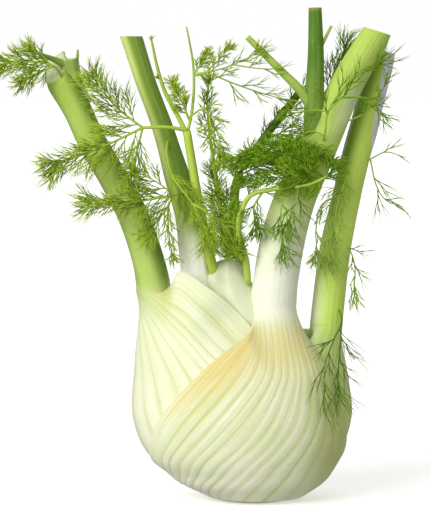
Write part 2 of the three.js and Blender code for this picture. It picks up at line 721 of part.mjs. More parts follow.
// Each frond: its stem and sprays, root first. Paths are points in millimetres.
const fronds = {
  frond_left_top: {
    seed: 11,
    sprays: [
      {
        path: [[-86.5, -2, 192.5], [-90.5, -8, 199], [-101, -10, 201.5], [-111, -10, 200.5]],
        radius: [1.0, 0.5],
        from: 0.4,
        branches: 11,
        reach: 13,
      },
      { path: [[-92, -8.6, 199.7], [-97, -9, 194], [-102, -9, 189.5]], branches: 6, reach: 10, leaflets: 1 },
    ],
  },
  young_leaf_left: {
    seed: 23,
    sprays: [
      {
        path: [[-17.5, -6, 103], [-19.5, -10, 112], [-22.5, -12, 126], [-25, -12.5, 138], [-30.3, -12.5, 170]],
        radius: [2.3, 2.0],
        branches: 0,
      },
      {
        path: [[-30.3, -12.5, 169], [-35.4, -11.5, 184], [-42.8, -10.5, 195.5], [-46.5, -9.5, 210.7]],
        radius: [1.5, 0.8],
        branches: 4,
        reach: 9,
      },
      {
        path: [[-30.3, -12.5, 168], [-27.1, -12.5, 177], [-26.7, -12.5, 193], [-29, -12.5, 209], [-30.4, -12.5, 217]],
        radius: [1.5, 0.7],
        from: 0.3,
        branches: 9,
        reach: 11,
      },
      { path: [[-30.3, -13, 170.5], [-40, -16, 171.8], [-50.6, -17, 171.6]], radius: [1.2, 1.0], branches: 0 },
      { path: [[-50.2, -17, 171.6], [-61, -19, 180], [-70, -19, 190]], from: 0.05, branches: 10, reach: 15 },
      { path: [[-50.2, -17, 171.6], [-66, -21, 164], [-86, -20, 156]], from: 0.05, branches: 13, reach: 16 },
      { path: [[-50.2, -17, 171.6], [-53, -18, 160], [-55, -18, 152]], branches: 5, reach: 10, leaflets: 1 },
      { path: [[-26.7, -12.5, 193], [-17, -14, 198], [-4, -14, 199.5]], branches: 9, reach: 13 },
      { path: [[-27.1, -12.5, 178], [-20, -14, 181], [-14, -14, 172], [-11.5, -14, 163]], branches: 8, reach: 11 },
    ],
  },
  young_leaf_centre: {
    seed: 37,
    sprays: [
      {
        path: [[-11, 4, 104], [-12, 3, 116], [-14.5, 1, 131], [-17.5, -1, 150], [-19, -2, 168], [-20, -2, 184]],
        radius: [1.6, 0.7],
        from: 0.12,
        branches: 30,
        reach: 12,
        leaflets: 1,
        depth: 1.6,
      },
      { path: [[-14.2, 1.2, 129], [-11, -8, 135], [-9, -14, 132], [-9, -17, 124]], branches: 9, reach: 9 },
    ],
  },
  young_leaf_right: {
    seed: 41,
    sprays: [
      {
        path: [[-3.2, 5, 99], [-6.9, 4.5, 115], [-8.7, 4, 131], [-7, 2.5, 148], [4, 2, 165], [14.7, 3, 179], [22, 4, 188]],
        radius: [2.5, 1.7],
        from: 0.35,
        branches: 10,
        reach: 12,
        tips: 0,
        depth: 1.4,
      },
      { path: [[4, 2, 165], [12, 6, 168], [20, 8, 166]], branches: 6, reach: 12 },
    ],
  },
  frond_right_front: {
    seed: 53,
    sprays: [
      {
        path: [[-2.6, -8, 100], [-3.6, -13, 112], [-7, -19, 126], [-2, -24, 141], [8, -25, 144], [24, -26, 146], [33, -26, 150]],
        radius: [1.5, 0.8],
        from: 0.5,
        branches: 8,
        reach: 11,
      },
      {
        path: [[26, -26, 146], [21, -27, 155], [8, -26, 161], [-4, -25, 160]],
        from: 0.05,
        branches: 19,
        reach: 13,
        depth: 1.3,
      },
      { path: [[14, -25.5, 145], [12, -25.5, 132], [13.5, -25, 119]], branches: 9, reach: 11, depth: 0.5 },
      { path: [[0, -24.5, 142], [-2, -23, 136], [-1, -22, 128]], branches: 5, reach: 9, leaflets: 1 },
    ],
  },
  frond_left_low: {
    seed: 61,
    sprays: [
      {
        path: [[-31.8, -4, 141.5], [-35, -12, 141], [-42, -16, 140], [-56, -19, 138], [-70, -20, 138]],
        radius: [1.0, 0.5],
        from: 0.3,
        branches: 13,
        reach: 13,
      },
      { path: [[-36, -13, 141], [-41, -16, 133], [-46, -17, 126]], branches: 6, reach: 10, leaflets: 1 },
      { path: [[-36, -13, 141], [-44, -15, 147], [-52, -16, 151]], branches: 5, reach: 9, leaflets: 1 },
      { path: [[-39, -15, 136], [-38.5, -16, 124], [-37, -16, 115]], branches: 5, reach: 7, leaflets: 1 },
    ],
  },
  frond_over_left_stalk: {
    seed: 71,
    sprays: [
      {
        path: [[-34, -3, 154], [-31.5, -11, 152.5], [-29, -17, 144], [-24, -19, 132], [-19, -19, 121]],
        radius: [1.0, 0.5],
        from: 0.3,
        branches: 14,
        reach: 15,
        depth: 0.7,
      },
    ],
  },
  frond_right_side: {
    seed: 83,
    sprays: [
      {
        path: [[44.6, 5, 151], [43.2, -3, 149], [39, -8, 139], [36.5, -9, 127], [35, -9, 115]],
        radius: [0.9, 0.5],
        from: 0.25,
        branches: 13,
        reach: 12,
        depth: 0.7,
      },
      { path: [[40, -7, 141], [31, -9, 136], [28.5, -10, 125], [29, -10, 113]], branches: 5, reach: 8, leaflets: 1 },
    ],
  },
  frond_right_edge: {
    seed: 97,
    sprays: [
      {
        path: [[49, 8, 154.5], [54.5, 4, 157], [61, 3, 160], [70, 2, 157.5]],
        from: 0.4,
        branches: 3,
        reach: 9,
        leaflets: 1,
        tips: 2,
      },
      { path: [[54, 4.2, 156.6], [57, 3, 144], [61, 2, 138], [67, 2, 135]], branches: 5, reach: 10, leaflets: 1, tips: 2 },
    ],
  },
  frond_right_low: {
    seed: 99,
    sprays: [
      { path: [[39.6, 6, 119], [44.5, 0, 115], [48, -1, 107], [48.5, -2, 96]], branches: 7, reach: 8, leaflets: 1, tips: 2 },
    ],
  },
  frond_hanging_low: {
    seed: 101,
    sprays: [
      {
        path: [[38, 2, 90], [41.5, -8, 86], [39, -19, 76], [36, -25, 64], [33, -31, 48]],
        from: 0.25,
        branches: 7,
        reach: 14,
        leaflets: 1,
        tips: 2,
        depth: 0.2,
      },
      {
        path: [[41, -8, 86], [44.5, -12, 73], [44.5, -17, 60], [43.5, -22, 46]],
        branches: 7,
        reach: 12,
        leaflets: 1,
        tips: 2,
        depth: 0.2,
      },
    ],
  },
  frond_behind_right: {
    seed: 113,
    sprays: [
      {
        path: [[33, -4, 178], [33.5, 4, 184], [37, 6, 196], [42, 6, 208]],
        radius: [1.0, 0.5],
        branches: 12,
        reach: 14,
        depth: 1.2,
      },
    ],
  },
  frond_over_right_stalk: {
    seed: 127,
    sprays: [
      {
        path: [[31, -12, 164], [32, -19, 168], [38, -21, 177], [46, -21, 183], [56, -18, 188]],
        from: 0.3,
        branches: 8,
        reach: 14,
        leaflets: 1,
        tips: 2,
      },
      { path: [[32, -19, 168], [24, -20, 168], [14, -19, 165]], branches: 6, reach: 11, leaflets: 1 },
    ],
  },
};

// Two smaller stems that branch off the front right leaf near its top, one upright and one leaning left.
const rightSideStems = [
  { path: [[29.5, -8, 164], [27.8, -9.5, 172], [27.8, -10, 184], [28.3, -10, 205], [27.9, -10, 226]], radius: [6.2, 2.9], sides: 10 },
  { path: [[28.5, -9, 176], [22.3, -11, 187], [12.4, -11, 197.3], [-2.8, -10, 212.5]], radius: [2.9, 1.4], sides: 8 },
  { path: [[29.5, -10, 205.5], [31.6, -10, 210], [35.3, -9.5, 217.8]], radius: [0.9, 0.7], sides: 6 },
];

// At the top of the left stalk a side branch was cut short, with torn bits of its sheath.
const leftSideStems = [
  { path: [[-79, 3, 182], [-82.5, 1.5, 192], [-84.4, 0.5, 202.6]], radius: [5.2, 4.3], sides: 10 },
  { path: [[-82, -0.5, 193.2], [-78, -1.2, 194.4], [-74.3, -1.5, 195.2]], radius: [2.6, 0.6], sides: 6 },
  { path: [[-85, -1, 199.5], [-91, -1.4, 202.4], [-97, -1.5, 204.6]], radius: [2.2, 0.9], sides: 6 },
  { path: [[-81.2, -0.5, 200], [-80.4, -0.5, 203.5], [-80.2, -0.5, 207]], radius: [1.1, 0.5], sides: 5 },
];

function stemSolid(node, stem) {
  const path = new THREE.CatmullRomCurve3(stem.path.map((p) => vector(...p)));
  const bends = stem.path.length + 1;
  const pieces = [];
  for (let i = 0; i < bends; i++) {
    const [a, b] = [path.getPointAt(i / bends), path.getPointAt((i + 1) / bends)];
    pieces.push({ a, b, r: mix(...stem.radius, i / bends), tip: mix(...stem.radius, (i + 1) / bends) });
  }
  pieces.forEach((p) => placed.push({ ...p, node }));
  const rings = [];
  for (let i = 0; i <= bends; i++) {
    const centre = path.getPointAt(i / bends);
    const tangent = path.getTangentAt(i / bends);
    const e1 = tangent.clone().cross(vector(0, 1, 0)).normalize();
    const e2 = tangent.clone().cross(e1);
    const r = mix(...stem.radius, (i / bends) ** 0.6);
    const places = Array.from({ length: stem.sides }, (_, k) => k / stem.sides);
    const points = places.map((turn) => {
      const angle = 2 * Math.PI * turn;
      return centre
        .clone()
        .addScaledVector(e1, r * Math.cos(angle))
        .addScaledVector(e2, r * Math.sin(angle));
    });
    rings.push({ points, places });
  }
  return loft(rings);
}

// Assembly

const group = new THREE.Group();

function addNode(name, solid, colour, roughness) {
  const mesh = solid.getMesh();
  const geometry = new THREE.BufferGeometry();
  geometry.setAttribute("position", new THREE.BufferAttribute(new Float32Array(mesh.vertProperties), 3));
  geometry.setIndex(new THREE.BufferAttribute(new Uint32Array(mesh.triVerts), 1));
  geometry.computeVertexNormals();
  const node = new THREE.Mesh(geometry, new THREE.MeshStandardMaterial({ color: colour, roughness, metalness: 0 }));
  node.name = name;
  group.add(node);
}

const root = rootSolid();
const rootRoom = rootSolid(layerGap);
const rightFrontRoom = leafSolid(frontRightLeaf, cutGap);
const leftRoom = leafSolid(leftLeaf, cutGap);
const rightRoom = leafSolid(rightLeaf, cutGap);
const innerLeftRoom = bodySolid(innerLeftLeaf, cutGap);

placeStalk("stalk_right_front", frontRightLeaf.stalk.keys, 90);
placeStalk("stalk_left", leftLeaf.stalk.keys, 96);
placeStalk("stalk_right", rightLeaf.stalk.keys, 80);
placeStalk("stalk_left_inner", innerLeftLeaf.keys, 100);
const rightStems = rightSideStems.map((stem) => stemSolid("stalk_right_front", stem));
const leftStems = leftSideStems.map((stem) => stemSolid("stalk_left", stem));

const pieceLists = Object.entries(fronds).map(([node, frond]) => {
  const pieces = frond.sprays.flatMap((spray) => growStem(node, spray));
  placed.push(...pieces);
  return [node, pieces];
});
pieceLists.forEach(([node, pieces]) => {
  const { seed, sprays } = fronds[node];
  const random = seeded(seed);
  const stemCount = pieces.length;
  sprays.forEach((spray) => growSpray(pieces, node, spray, random));
  placed.push(...pieces.slice(stemCount));
});

// The holes that the fronds' roots stand in.
const rootHoles = pieceLists.map(([, pieces]) => {
  const [first, second] = pieces;
  const holes = [first, second].map((p) => spike(p.a, p.b, p.r + layerGap + 0.15, p.tip + layerGap + 0.15, 7));
  const start = first.a.clone().addScaledVector(first.b.clone().sub(first.a).normalize(), -1);
  holes.push(spike(start, first.a.clone().lerp(first.b, 0.2), first.r + layerGap + 0.15, first.r + layerGap + 0.15, 7));
  return wasm.Manifold.union(holes);
});
const holes = wasm.Manifold.union(rootHoles);

const leafRightFront = wasm.Manifold.union([leafSolid(frontRightLeaf), ...rightStems]);
const leafLeft = wasm.Manifold.union([leafSolid(leftLeaf), ...leftStems]);
const leafRight = leafSolid(rightLeaf).subtract(slicedAway(rightSlice));
const leaves = {
  stalk_right_front: [leafRightFront, [rootRoom], 0xe6ebb4, 0.05],
  stalk_left: [leafLeft, [rootRoom, rightFrontRoom], 0xdbe8a8, 0.08],
  stalk_right: [leafRight, [rootRoom, rightFrontRoom, leftRoom], 0xa9c96a, 0.1],
  stalk_left_inner: [bodySolid(innerLeftLeaf), [rootRoom, rightFrontRoom, leftRoom, rightRoom], 0xcfe08a, 0.16],
  heart_leaf: [bodySolid(heartLeaf), [rootRoom, rightFrontRoom, leftRoom, rightRoom, innerLeftRoom], 0xdde2c0, 0.2],
};

addNode("root_end", root, 0xd9cfae, 0.7);
Object.entries(leaves).forEach(([name, [solid, covers, colour, tolerance]]) => {
  const cut = covers.reduce((body, cover) => body.subtract(cover), solid).subtract(holes);
  const kept = largestOf(cut).asOriginal().simplify(tolerance);
  addNode(name, largestOf(tidied(kept, 0.15, 0.02)), colour, 0.45);
});
pieceLists.forEach(([name, pieces]) => {
  const joined = wasm.Manifold.union(pieces.map((p) => spike(p.a, p.b, p.r, p.tip, p.sides)));
  const kept = largestOf(joined).asOriginal().simplify(0.12);
  addNode(name, largestOf(tidied(kept, 0.3, 0.02)), 0x5f9a2a, 0.6);
});

export default group;
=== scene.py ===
# A fennel bulb with cut stalks and feathery leaves. Lengths are written in millimetres and
# turned into metres when a piece is made. The front is -Y, and the plant stands on its root cut.
import math
import random

import bpy
import numpy as np
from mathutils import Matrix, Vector


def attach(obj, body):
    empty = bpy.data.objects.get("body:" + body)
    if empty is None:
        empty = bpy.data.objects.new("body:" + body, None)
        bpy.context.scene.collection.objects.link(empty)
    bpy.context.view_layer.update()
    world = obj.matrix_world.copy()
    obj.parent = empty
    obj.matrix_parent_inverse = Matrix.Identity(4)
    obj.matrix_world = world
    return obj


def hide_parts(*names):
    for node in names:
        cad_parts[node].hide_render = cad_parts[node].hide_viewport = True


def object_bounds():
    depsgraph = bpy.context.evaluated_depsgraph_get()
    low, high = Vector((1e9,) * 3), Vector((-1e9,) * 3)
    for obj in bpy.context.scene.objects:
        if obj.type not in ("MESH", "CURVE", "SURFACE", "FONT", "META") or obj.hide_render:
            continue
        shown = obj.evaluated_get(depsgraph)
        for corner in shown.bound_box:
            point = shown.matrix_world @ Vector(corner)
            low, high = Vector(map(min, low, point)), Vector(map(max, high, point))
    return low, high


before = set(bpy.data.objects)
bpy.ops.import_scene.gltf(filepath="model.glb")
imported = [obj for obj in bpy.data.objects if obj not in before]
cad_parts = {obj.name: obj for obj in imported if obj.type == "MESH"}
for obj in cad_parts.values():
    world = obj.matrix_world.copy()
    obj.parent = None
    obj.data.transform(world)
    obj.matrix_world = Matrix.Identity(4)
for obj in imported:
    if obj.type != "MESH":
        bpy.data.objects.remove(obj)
cadLow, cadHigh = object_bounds()
bpy.ops.object.select_all(action="DESELECT")
print("frame loaded,", len(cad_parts), "nodes")

metre = 0.001
rowDensity = 1.0  # rows of the sheaths and stalks
threadDensity = 1.0  # side branches of the fronds


def mix(a, b, t):
    return a + (b - a) * t


def smooth(x):
    x = np.clip(x, 0, 1)
    return x * x * (3 - 2 * x)


def unit(v):
    v = np.asarray(v, float)
    return v / np.maximum(np.linalg.norm(v, axis=-1, keepdims=True), 1e-9)


def hermite(p, a, b, q, at):  # one span of a smooth curve, each key as [place, value, ...]
    span = b[..., :1] - a[..., :1]
    t = (at[..., None] - a[..., :1]) / span
    start, end = a[..., 1:], b[..., 1:]
    plain = (end - start) / span
    before = np.maximum(b[..., :1] - p[..., :1], 1e-9)
    after = np.maximum(q[..., :1] - a[..., :1], 1e-9)
    slopeA = np.where(a[..., :1] > p[..., :1], (end - p[..., 1:]) / before, plain)
    slopeB = np.where(q[..., :1] > b[..., :1], (q[..., 1:] - start) / after, plain)
    return (
        start * (1 + 2 * t) * (1 - t) ** 2
        + span * slopeA * t * (1 - t) ** 2
        + end * t * t * (3 - 2 * t)
        - span * slopeB * t * t * (1 - t)
    )


def track(keys, at):  # values of a smooth curve through the keys, at many places
    keys = np.asarray(keys, float)
    at = np.clip(np.asarray(at, float), keys[0, 0], keys[-1, 0])
    last = len(keys) - 1
    i = np.clip(np.searchsorted(keys[:, 0], at, side="left") - 1, 0, last - 1)
    return hermite(keys[np.maximum(i - 1, 0)], keys[i], keys[i + 1], keys[np.minimum(i + 2, last)], at)


def evenPath(points, count):  # a smooth path through the points, cut into even steps
    points = np.asarray(points, float)
    ends = [2 * points[0] - points[1], 2 * points[-1] - points[-2]]
    padded = np.vstack([ends[0], points, ends[1]])
    fine = [points[0]]
    for i in range(len(points) - 1):
        p0, p1, p2, p3 = padded[i:i + 4]
        d0, d1, d2 = [max(np.linalg.norm(b - a), 1e-4) ** 0.5 for a, b in ((p0, p1), (p1, p2), (p2, p3))]
        t1 = ((p1 - p0) / d0 - (p2 - p0) / (d0 + d1) + (p2 - p1) / d1) * d1
        t2 = ((p2 - p1) / d1 - (p3 - p1) / (d1 + d2) + (p3 - p2) / d2) * d1
        s = np.linspace(0, 1, 31)[1:, None]
        fine.extend(
            p1 + t1 * s + (3 * p2 - 3 * p1 - 2 * t1 - t2) * s * s + (2 * p1 - 2 * p2 + t1 + t2) * s ** 3
        )
    fine = np.array(fine)
    walked = np.concatenate([[0], np.cumsum(np.linalg.norm(np.diff(fine, axis=0), axis=1))])
    at = np.linspace(0, walked[-1], count)
    return np.stack([np.interp(at, walked, fine[:, k]) for k in range(3)], axis=1)


# Node helpers for the materials.


def srgb(red, green, blue):  # a colour as seen, 0 to 255
    def linear(c):
        c /= 255
        return c / 12.92 if c <= 0.04045 else ((c + 0.055) / 1.055) ** 2.4
    return (linear(red), linear(green), linear(blue), 1)


def newMaterial(name):
    material = bpy.data.materials.new(name)
    material.use_nodes = True
    tree = material.node_tree
    return material, tree, tree.nodes["Principled BSDF"]


def put(tree, kind, x, y, **settings):
    node = tree.nodes.new(kind)
    node.location = (x, y)
    for key, value in settings.items():
        setattr(node, key, value)
    return node


def feed(tree, source, target):  # joins a socket, or sets the value
    if isinstance(source, bpy.types.NodeSocket):
        tree.links.new(source, target)
    else:
        target.default_value = source


def math2(tree, how, a, b, x, y):
    node = put(tree, "ShaderNodeMath", x, y, operation=how)
    feed(tree, a, node.inputs[0])
    feed(tree, b, node.inputs[1])
    return node.outputs[0]


def remap(tree, value, low, high, outLow, outHigh, x, y):
    node = put(tree, "ShaderNodeMapRange", x, y, interpolation_type="SMOOTHSTEP")
    feed(tree, value, node.inputs["Value"])
    for name, number in (("From Min", low), ("From Max", high), ("To Min", outLow), ("To Max", outHigh)):
        node.inputs[name].default_value = number
    return node.outputs["Result"]


def tint(tree, amount, below, above, x, y):
    node = put(tree, "ShaderNodeMix", x, y, data_type="RGBA")
    feed(tree, amount, node.inputs["Factor"])
    feed(tree, below, node.inputs["A"])
    feed(tree, above, node.inputs["B"])
    return node.outputs["Result"]


def mask(tree, name, x, y):  # a number that the mesh carries at each point
    return put(tree, "ShaderNodeAttribute", x, y, attribute_name=name).outputs["Fac"]


def noise(tree, where, scale, detail, x, y):
    node = put(tree, "ShaderNodeTexNoise", x, y)
    for name, source in (("Vector", where), ("Scale", scale), ("Detail", detail)):
        feed(tree, source, node.inputs[name])
    return node.outputs["Fac"]


def setValues(node, values):
    for name, value in values.items():
        node.inputs[name].default_value = value


def relief(tree, shader, height, strength, distance):
    bump = put(tree, "ShaderNodeBump", -150, -300)
    setValues(bump, {"Strength": strength, "Distance": distance})
    feed(tree, height, bump.inputs["Height"])
    feed(tree, bump.outputs["Normal"], shader.inputs["Normal"])


def buildLeafGrain():  # long streaks, soft blotches and fine relief along a leaf, shared by all the flesh
    group = bpy.data.node_groups.new("leafGrain", "ShaderNodeTree")
    face = group.interface
    for name, value in (("Across", 150.0), ("Along", 5.0), ("Blotch", 45.0), ("Speck", 600.0)):
        face.new_socket(name=name, in_out="INPUT", socket_type="NodeSocketFloat").default_value = value
    for name in ("Streaks", "Threads", "Blotches", "Specks", "Height"):
        face.new_socket(name=name, in_out="OUTPUT", socket_type="NodeSocketFloat")
    start, end = put(group, "NodeGroupInput", -900, 0), put(group, "NodeGroupOutput", 700, 0)
    uv = put(group, "ShaderNodeUVMap", -900, 300, uv_map="leafUV")
    place = put(group, "ShaderNodeSeparateXYZ", -700, 300)
    feed(group, uv.outputs[0], place.inputs[0])
    stretched = put(group, "ShaderNodeCombineXYZ", -300, 250)
    for side, name in enumerate(("Across", "Along")):
        scaled = math2(group, "MULTIPLY", place.outputs[side], start.outputs[name], -500, 300 - 150 * side)
        feed(group, scaled, stretched.inputs[side])
    spot = put(group, "ShaderNodeTexCoord", -500, -200).outputs["Object"]
    streaks = noise(group, stretched.outputs[0], 1, 3, -100, 400)
    threads = noise(group, stretched.outputs[0], 4.5, 2, -100, 150)
    blotches = noise(group, spot, start.outputs["Blotch"], 3, -100, -100)
    specks = noise(group, spot, start.outputs["Speck"], 2, -100, -350)
    for name, value, low, high, y in (
        ("Streaks", streaks, 0.3, 0.7, 400), ("Threads", threads, 0.3, 0.7, 200),
        ("Blotches", blotches, 0.32, 0.68, 0), ("Specks", specks, 0.66, 0.74, -200),
    ):
        feed(group, remap(group, value, low, high, 0, 1, 200, y), end.inputs[name])
    height = math2(group, "ADD", threads, blotches, 200, -400)
    feed(group, math2(group, "ADD", height, specks, 400, -400), end.inputs["Height"])
    return group


leafGrain = buildLeafGrain()


def fleshMaterial(name, look):
    # Bulb and stalk flesh. The mesh carries where it turns green, dark, tan or pale, and its grooves; part of the
    # green, dark and tan is painted shade.
    material, tree, shader = newMaterial(name)
    grain = put(tree, "ShaderNodeGroup", -1500, 0, node_tree=leafGrain)
    setValues(grain, look["grain"])
    streaks, threads, blotches, specks, height = grain.outputs
    wavering = remap(tree, threads, 0, 1, 0.82, 1.0, -1200, 0)
    grooved = remap(tree, streaks, 0, 1, 0.35, 1, -1200, 900)
    tanned = remap(tree, streaks, 0.1, 0.9, 0.6, 1, -1200, 1100)
    colour = tint(tree, blotches, look["base"], look["baseSoft"], -1200, 300)
    layers = (("lime", streaks, "lime"), ("green", wavering, "stalk"), ("dark", wavering, "deep"),
              ("groove", grooved, "vein"), ("tan", tanned, "tan"), ("pale", wavering, "pale"))
    for step, (where, strength, paint) in enumerate(layers):
        x = 170 * step - 1000
        amount = math2(tree, "MULTIPLY", mask(tree, where, x - 400, 700), strength, x - 200, 600)
        colour = tint(tree, amount, colour, look[paint], x, 300)
    speck = math2(tree, "MULTIPLY", specks, look["speckAmount"], -150, 0)
    colour = tint(tree, speck, colour, look["speck"], 50, 300)
    feed(tree, colour, shader.inputs["Base Color"])
    feed(tree, remap(tree, streaks, 0, 1, *look["rough"], 0, 0), shader.inputs["Roughness"])
    relief(tree, shader, height, look["bump"], 0.0004)
    setValues(shader, {"Subsurface Weight": look["soft"], "Subsurface Radius": (1.0, 0.8, 0.35),
                       "Subsurface Scale": 0.003, "IOR": 1.4, "Specular IOR Level": 0.22})
    return material


# The bulb's outer form: height, centre's shift, half width and half depth as shares of the greatest.
bulb = {
    "width": 100.7,
    "depth": 69.0,
    "layerStep": 1.2,
    "rim": 0.9,
    "form": [
        [0, 0, 0.316, 0.43], [2.5, 1.2, 0.376, 0.51], [5, 0.9, 0.472, 0.585], [10, -0.7, 0.645, 0.73],
        [15, -1.9, 0.742, 0.82], [20, -3.7, 0.838, 0.895], [25, -4.1, 0.908, 0.945], [32, -4.3, 0.964, 0.985],
        [40, -4.5, 0.996, 1.0], [50, -4.8, 0.989, 0.985], [60, -4.8, 0.968, 0.93], [70, -6.0, 0.935, 0.845],
        [80, -6.8, 0.904, 0.74], [90, -6.9, 0.893, 0.63], [100, -7.0, 0.878, 0.53], [112, -7.1, 0.859, 0.44],
    ],
}


def bulbSection(z):
    shift, wide, deep = np.moveaxis(track(bulb["form"], z), -1, 0)
    return shift, wide * bulb["width"] / 2, deep * bulb["depth"] / 2


def onBulb(phi, z, out):  # phi degrees round from the front towards +X, moved out along the surface's normal
    def at(p, h):
        shift, a, b = bulbSection(h)
        p = np.radians(p)
        return np.stack([shift + a * np.sin(p), -b * np.cos(p), h * np.ones_like(p)], -1)
    step = 0.5
    turn = at(phi + step, z) - at(phi - step, z)
    up = at(phi, z + step) - at(phi, np.maximum(0, z - step))
    return at(phi, z) + unit(np.cross(turn, up)) * out[..., None]


def stalkRow(stalk, height):
    keys = stalk["keys"]
    x, y, wide, deep = track(keys, height)
    first = keys[0][0]
    below = min(0, height - first)
    if below < 0:
        xa, ya = track(keys, first + 2)[:2]
        axis = unit([(xa - x) / 2, (ya - y) / 2, 1])
    else:
        axis = unit([*(track(keys, height + 1)[:2] - track(keys, height - 1)[:2]), 2])
    centre = np.array([x, y, first + max(0, height - first)]) + axis * below
    outward = np.array([*stalk["outward"], 0.0])
    outward = unit(outward - axis * outward.dot(axis))
    across = unit(np.cross(axis, outward))
    return centre, axis, outward, across, wide, deep


def onStalk(stalk, height, place, lift=0.0):  # places 0 to 1 are the outer side, 1 to 2 the inner side
    centre, axis, outward, across, wide, deep = stalkRow(stalk, height)
    wide, deep = np.array([wide, deep]) * (1 - 0.1 * smooth((height - stalk["top"] + 3) / 3))
    outer = place <= 1
    angle = np.radians(np.where(outer, mix(-118, 118, place), mix(118, 242, place - 1)))
    groove = np.where(outer, 0, stalk["groove"] * np.sin(math.pi * np.clip(place - 1, 0, 1)) ** 2)
    out = (wide * (1 - groove) + lift) * np.cos(angle)
    side = (deep + lift) * np.sin(angle) * stalk["turn"]
    slant = np.zeros_like(place)
    if "slant" in stalk:
        tilted = stalk["slant"] * np.cos(angle) + stalk["frontSlant"] * np.sin(angle) * stalk["turn"]
        slant = smooth((height - stalk["top"] + 16) / 16) * tilted
    return centre + out[:, None] * outward + side[:, None] * across + slant[:, None] * axis


def ribProfile(leaf, across):  # broad rounded ribs with narrow grooves, a little uneven
    warped = across + 0.006 * np.sin(19 * across + leaf["step"]) + 0.004 * np.sin(41 * across)
    turn = leaf["ribs"] * warped
    near = np.abs(turn - np.floor(turn) - 0.5)  # the groove lies half way between two ribs
    groove = np.exp(-(near / 0.16) ** 2)
    tall = 0.75 + 0.25 * np.sin(7.3 * leaf["ribs"] * across + 2 * leaf["step"])
    fine = 0.1 * np.cos(2 * math.pi * turn * 3)
    return tall * (0.75 * np.cos(2 * math.pi * turn) - 0.45 * groove) + fine, groove


def layGrid(name, points, places, masks, materials, faceSlots=None):
    # A sheet of rows is rolled into a closed skin: the first and last point of each row coincide, and so do
    # all the points of a row that closes an end.
    rows, around = points.shape[:2]
    bpy.ops.object.select_all(action="DESELECT")
    bpy.ops.mesh.primitive_grid_add(x_subdivisions=around - 1, y_subdivisions=rows - 1, size=0.1)
    piece = bpy.context.object
    piece.name = name
    mesh = piece.data
    mesh.name = name
    mesh.vertices.foreach_set("co", (points.reshape(-1, 3) * metre).ravel().astype(np.float32))
    for key, values in masks.items():
        layer = mesh.attributes.new(key, "FLOAT", "POINT")
        layer.data.foreach_set("value", np.ascontiguousarray(np.clip(values, 0, 1), np.float32).ravel())
    corner = np.zeros(len(mesh.loops), np.int32)
    mesh.loops.foreach_get("vertex_index", corner)
    uvLayer = mesh.uv_layers[0]
    uvLayer.name = "leafUV"
    uvLayer.data.foreach_set("uv", places.reshape(-1, 2)[corner].astype(np.float32).ravel())
    for material in materials:
        mesh.materials.append(material)
    if faceSlots is not None:
        mesh.polygons.foreach_set("material_index", np.repeat(faceSlots, around - 1).astype(np.int32))
    mesh.update()
    bpy.ops.object.mode_set(mode="EDIT")
    bpy.ops.mesh.select_all(action="SELECT")
    bpy.ops.mesh.remove_doubles(threshold=0.000004)
    bpy.ops.mesh.normals_make_consistent(inside=False)
    bpy.ops.object.mode_set(mode="OBJECT")
    bpy.ops.object.shade_smooth_by_angle(angle=math.radians(50))
    return piece


def capRows(ring, axis, sink):
    # The cut end of a stalk: a crisp edge, a slightly sunk pith and a closed middle.
    centre = ring[:-1].mean(0)
    return [centre + (ring - centre) * share - np.asarray(axis) * sink * smooth((1 - share) / 0.5)
            for share in (0.985, 0.93, 0.82, 0.6, 0.35, 0.12, 0.0)]


def gridPlaces(shape, across, start=0.0):  # UV places: across each row, and upwards from row to row
    up = start + (1 - start) * np.arange(shape[0])[:, None] / shape[0]
    return np.stack([np.broadcast_to(across, shape), np.broadcast_to(up, shape)], -1)


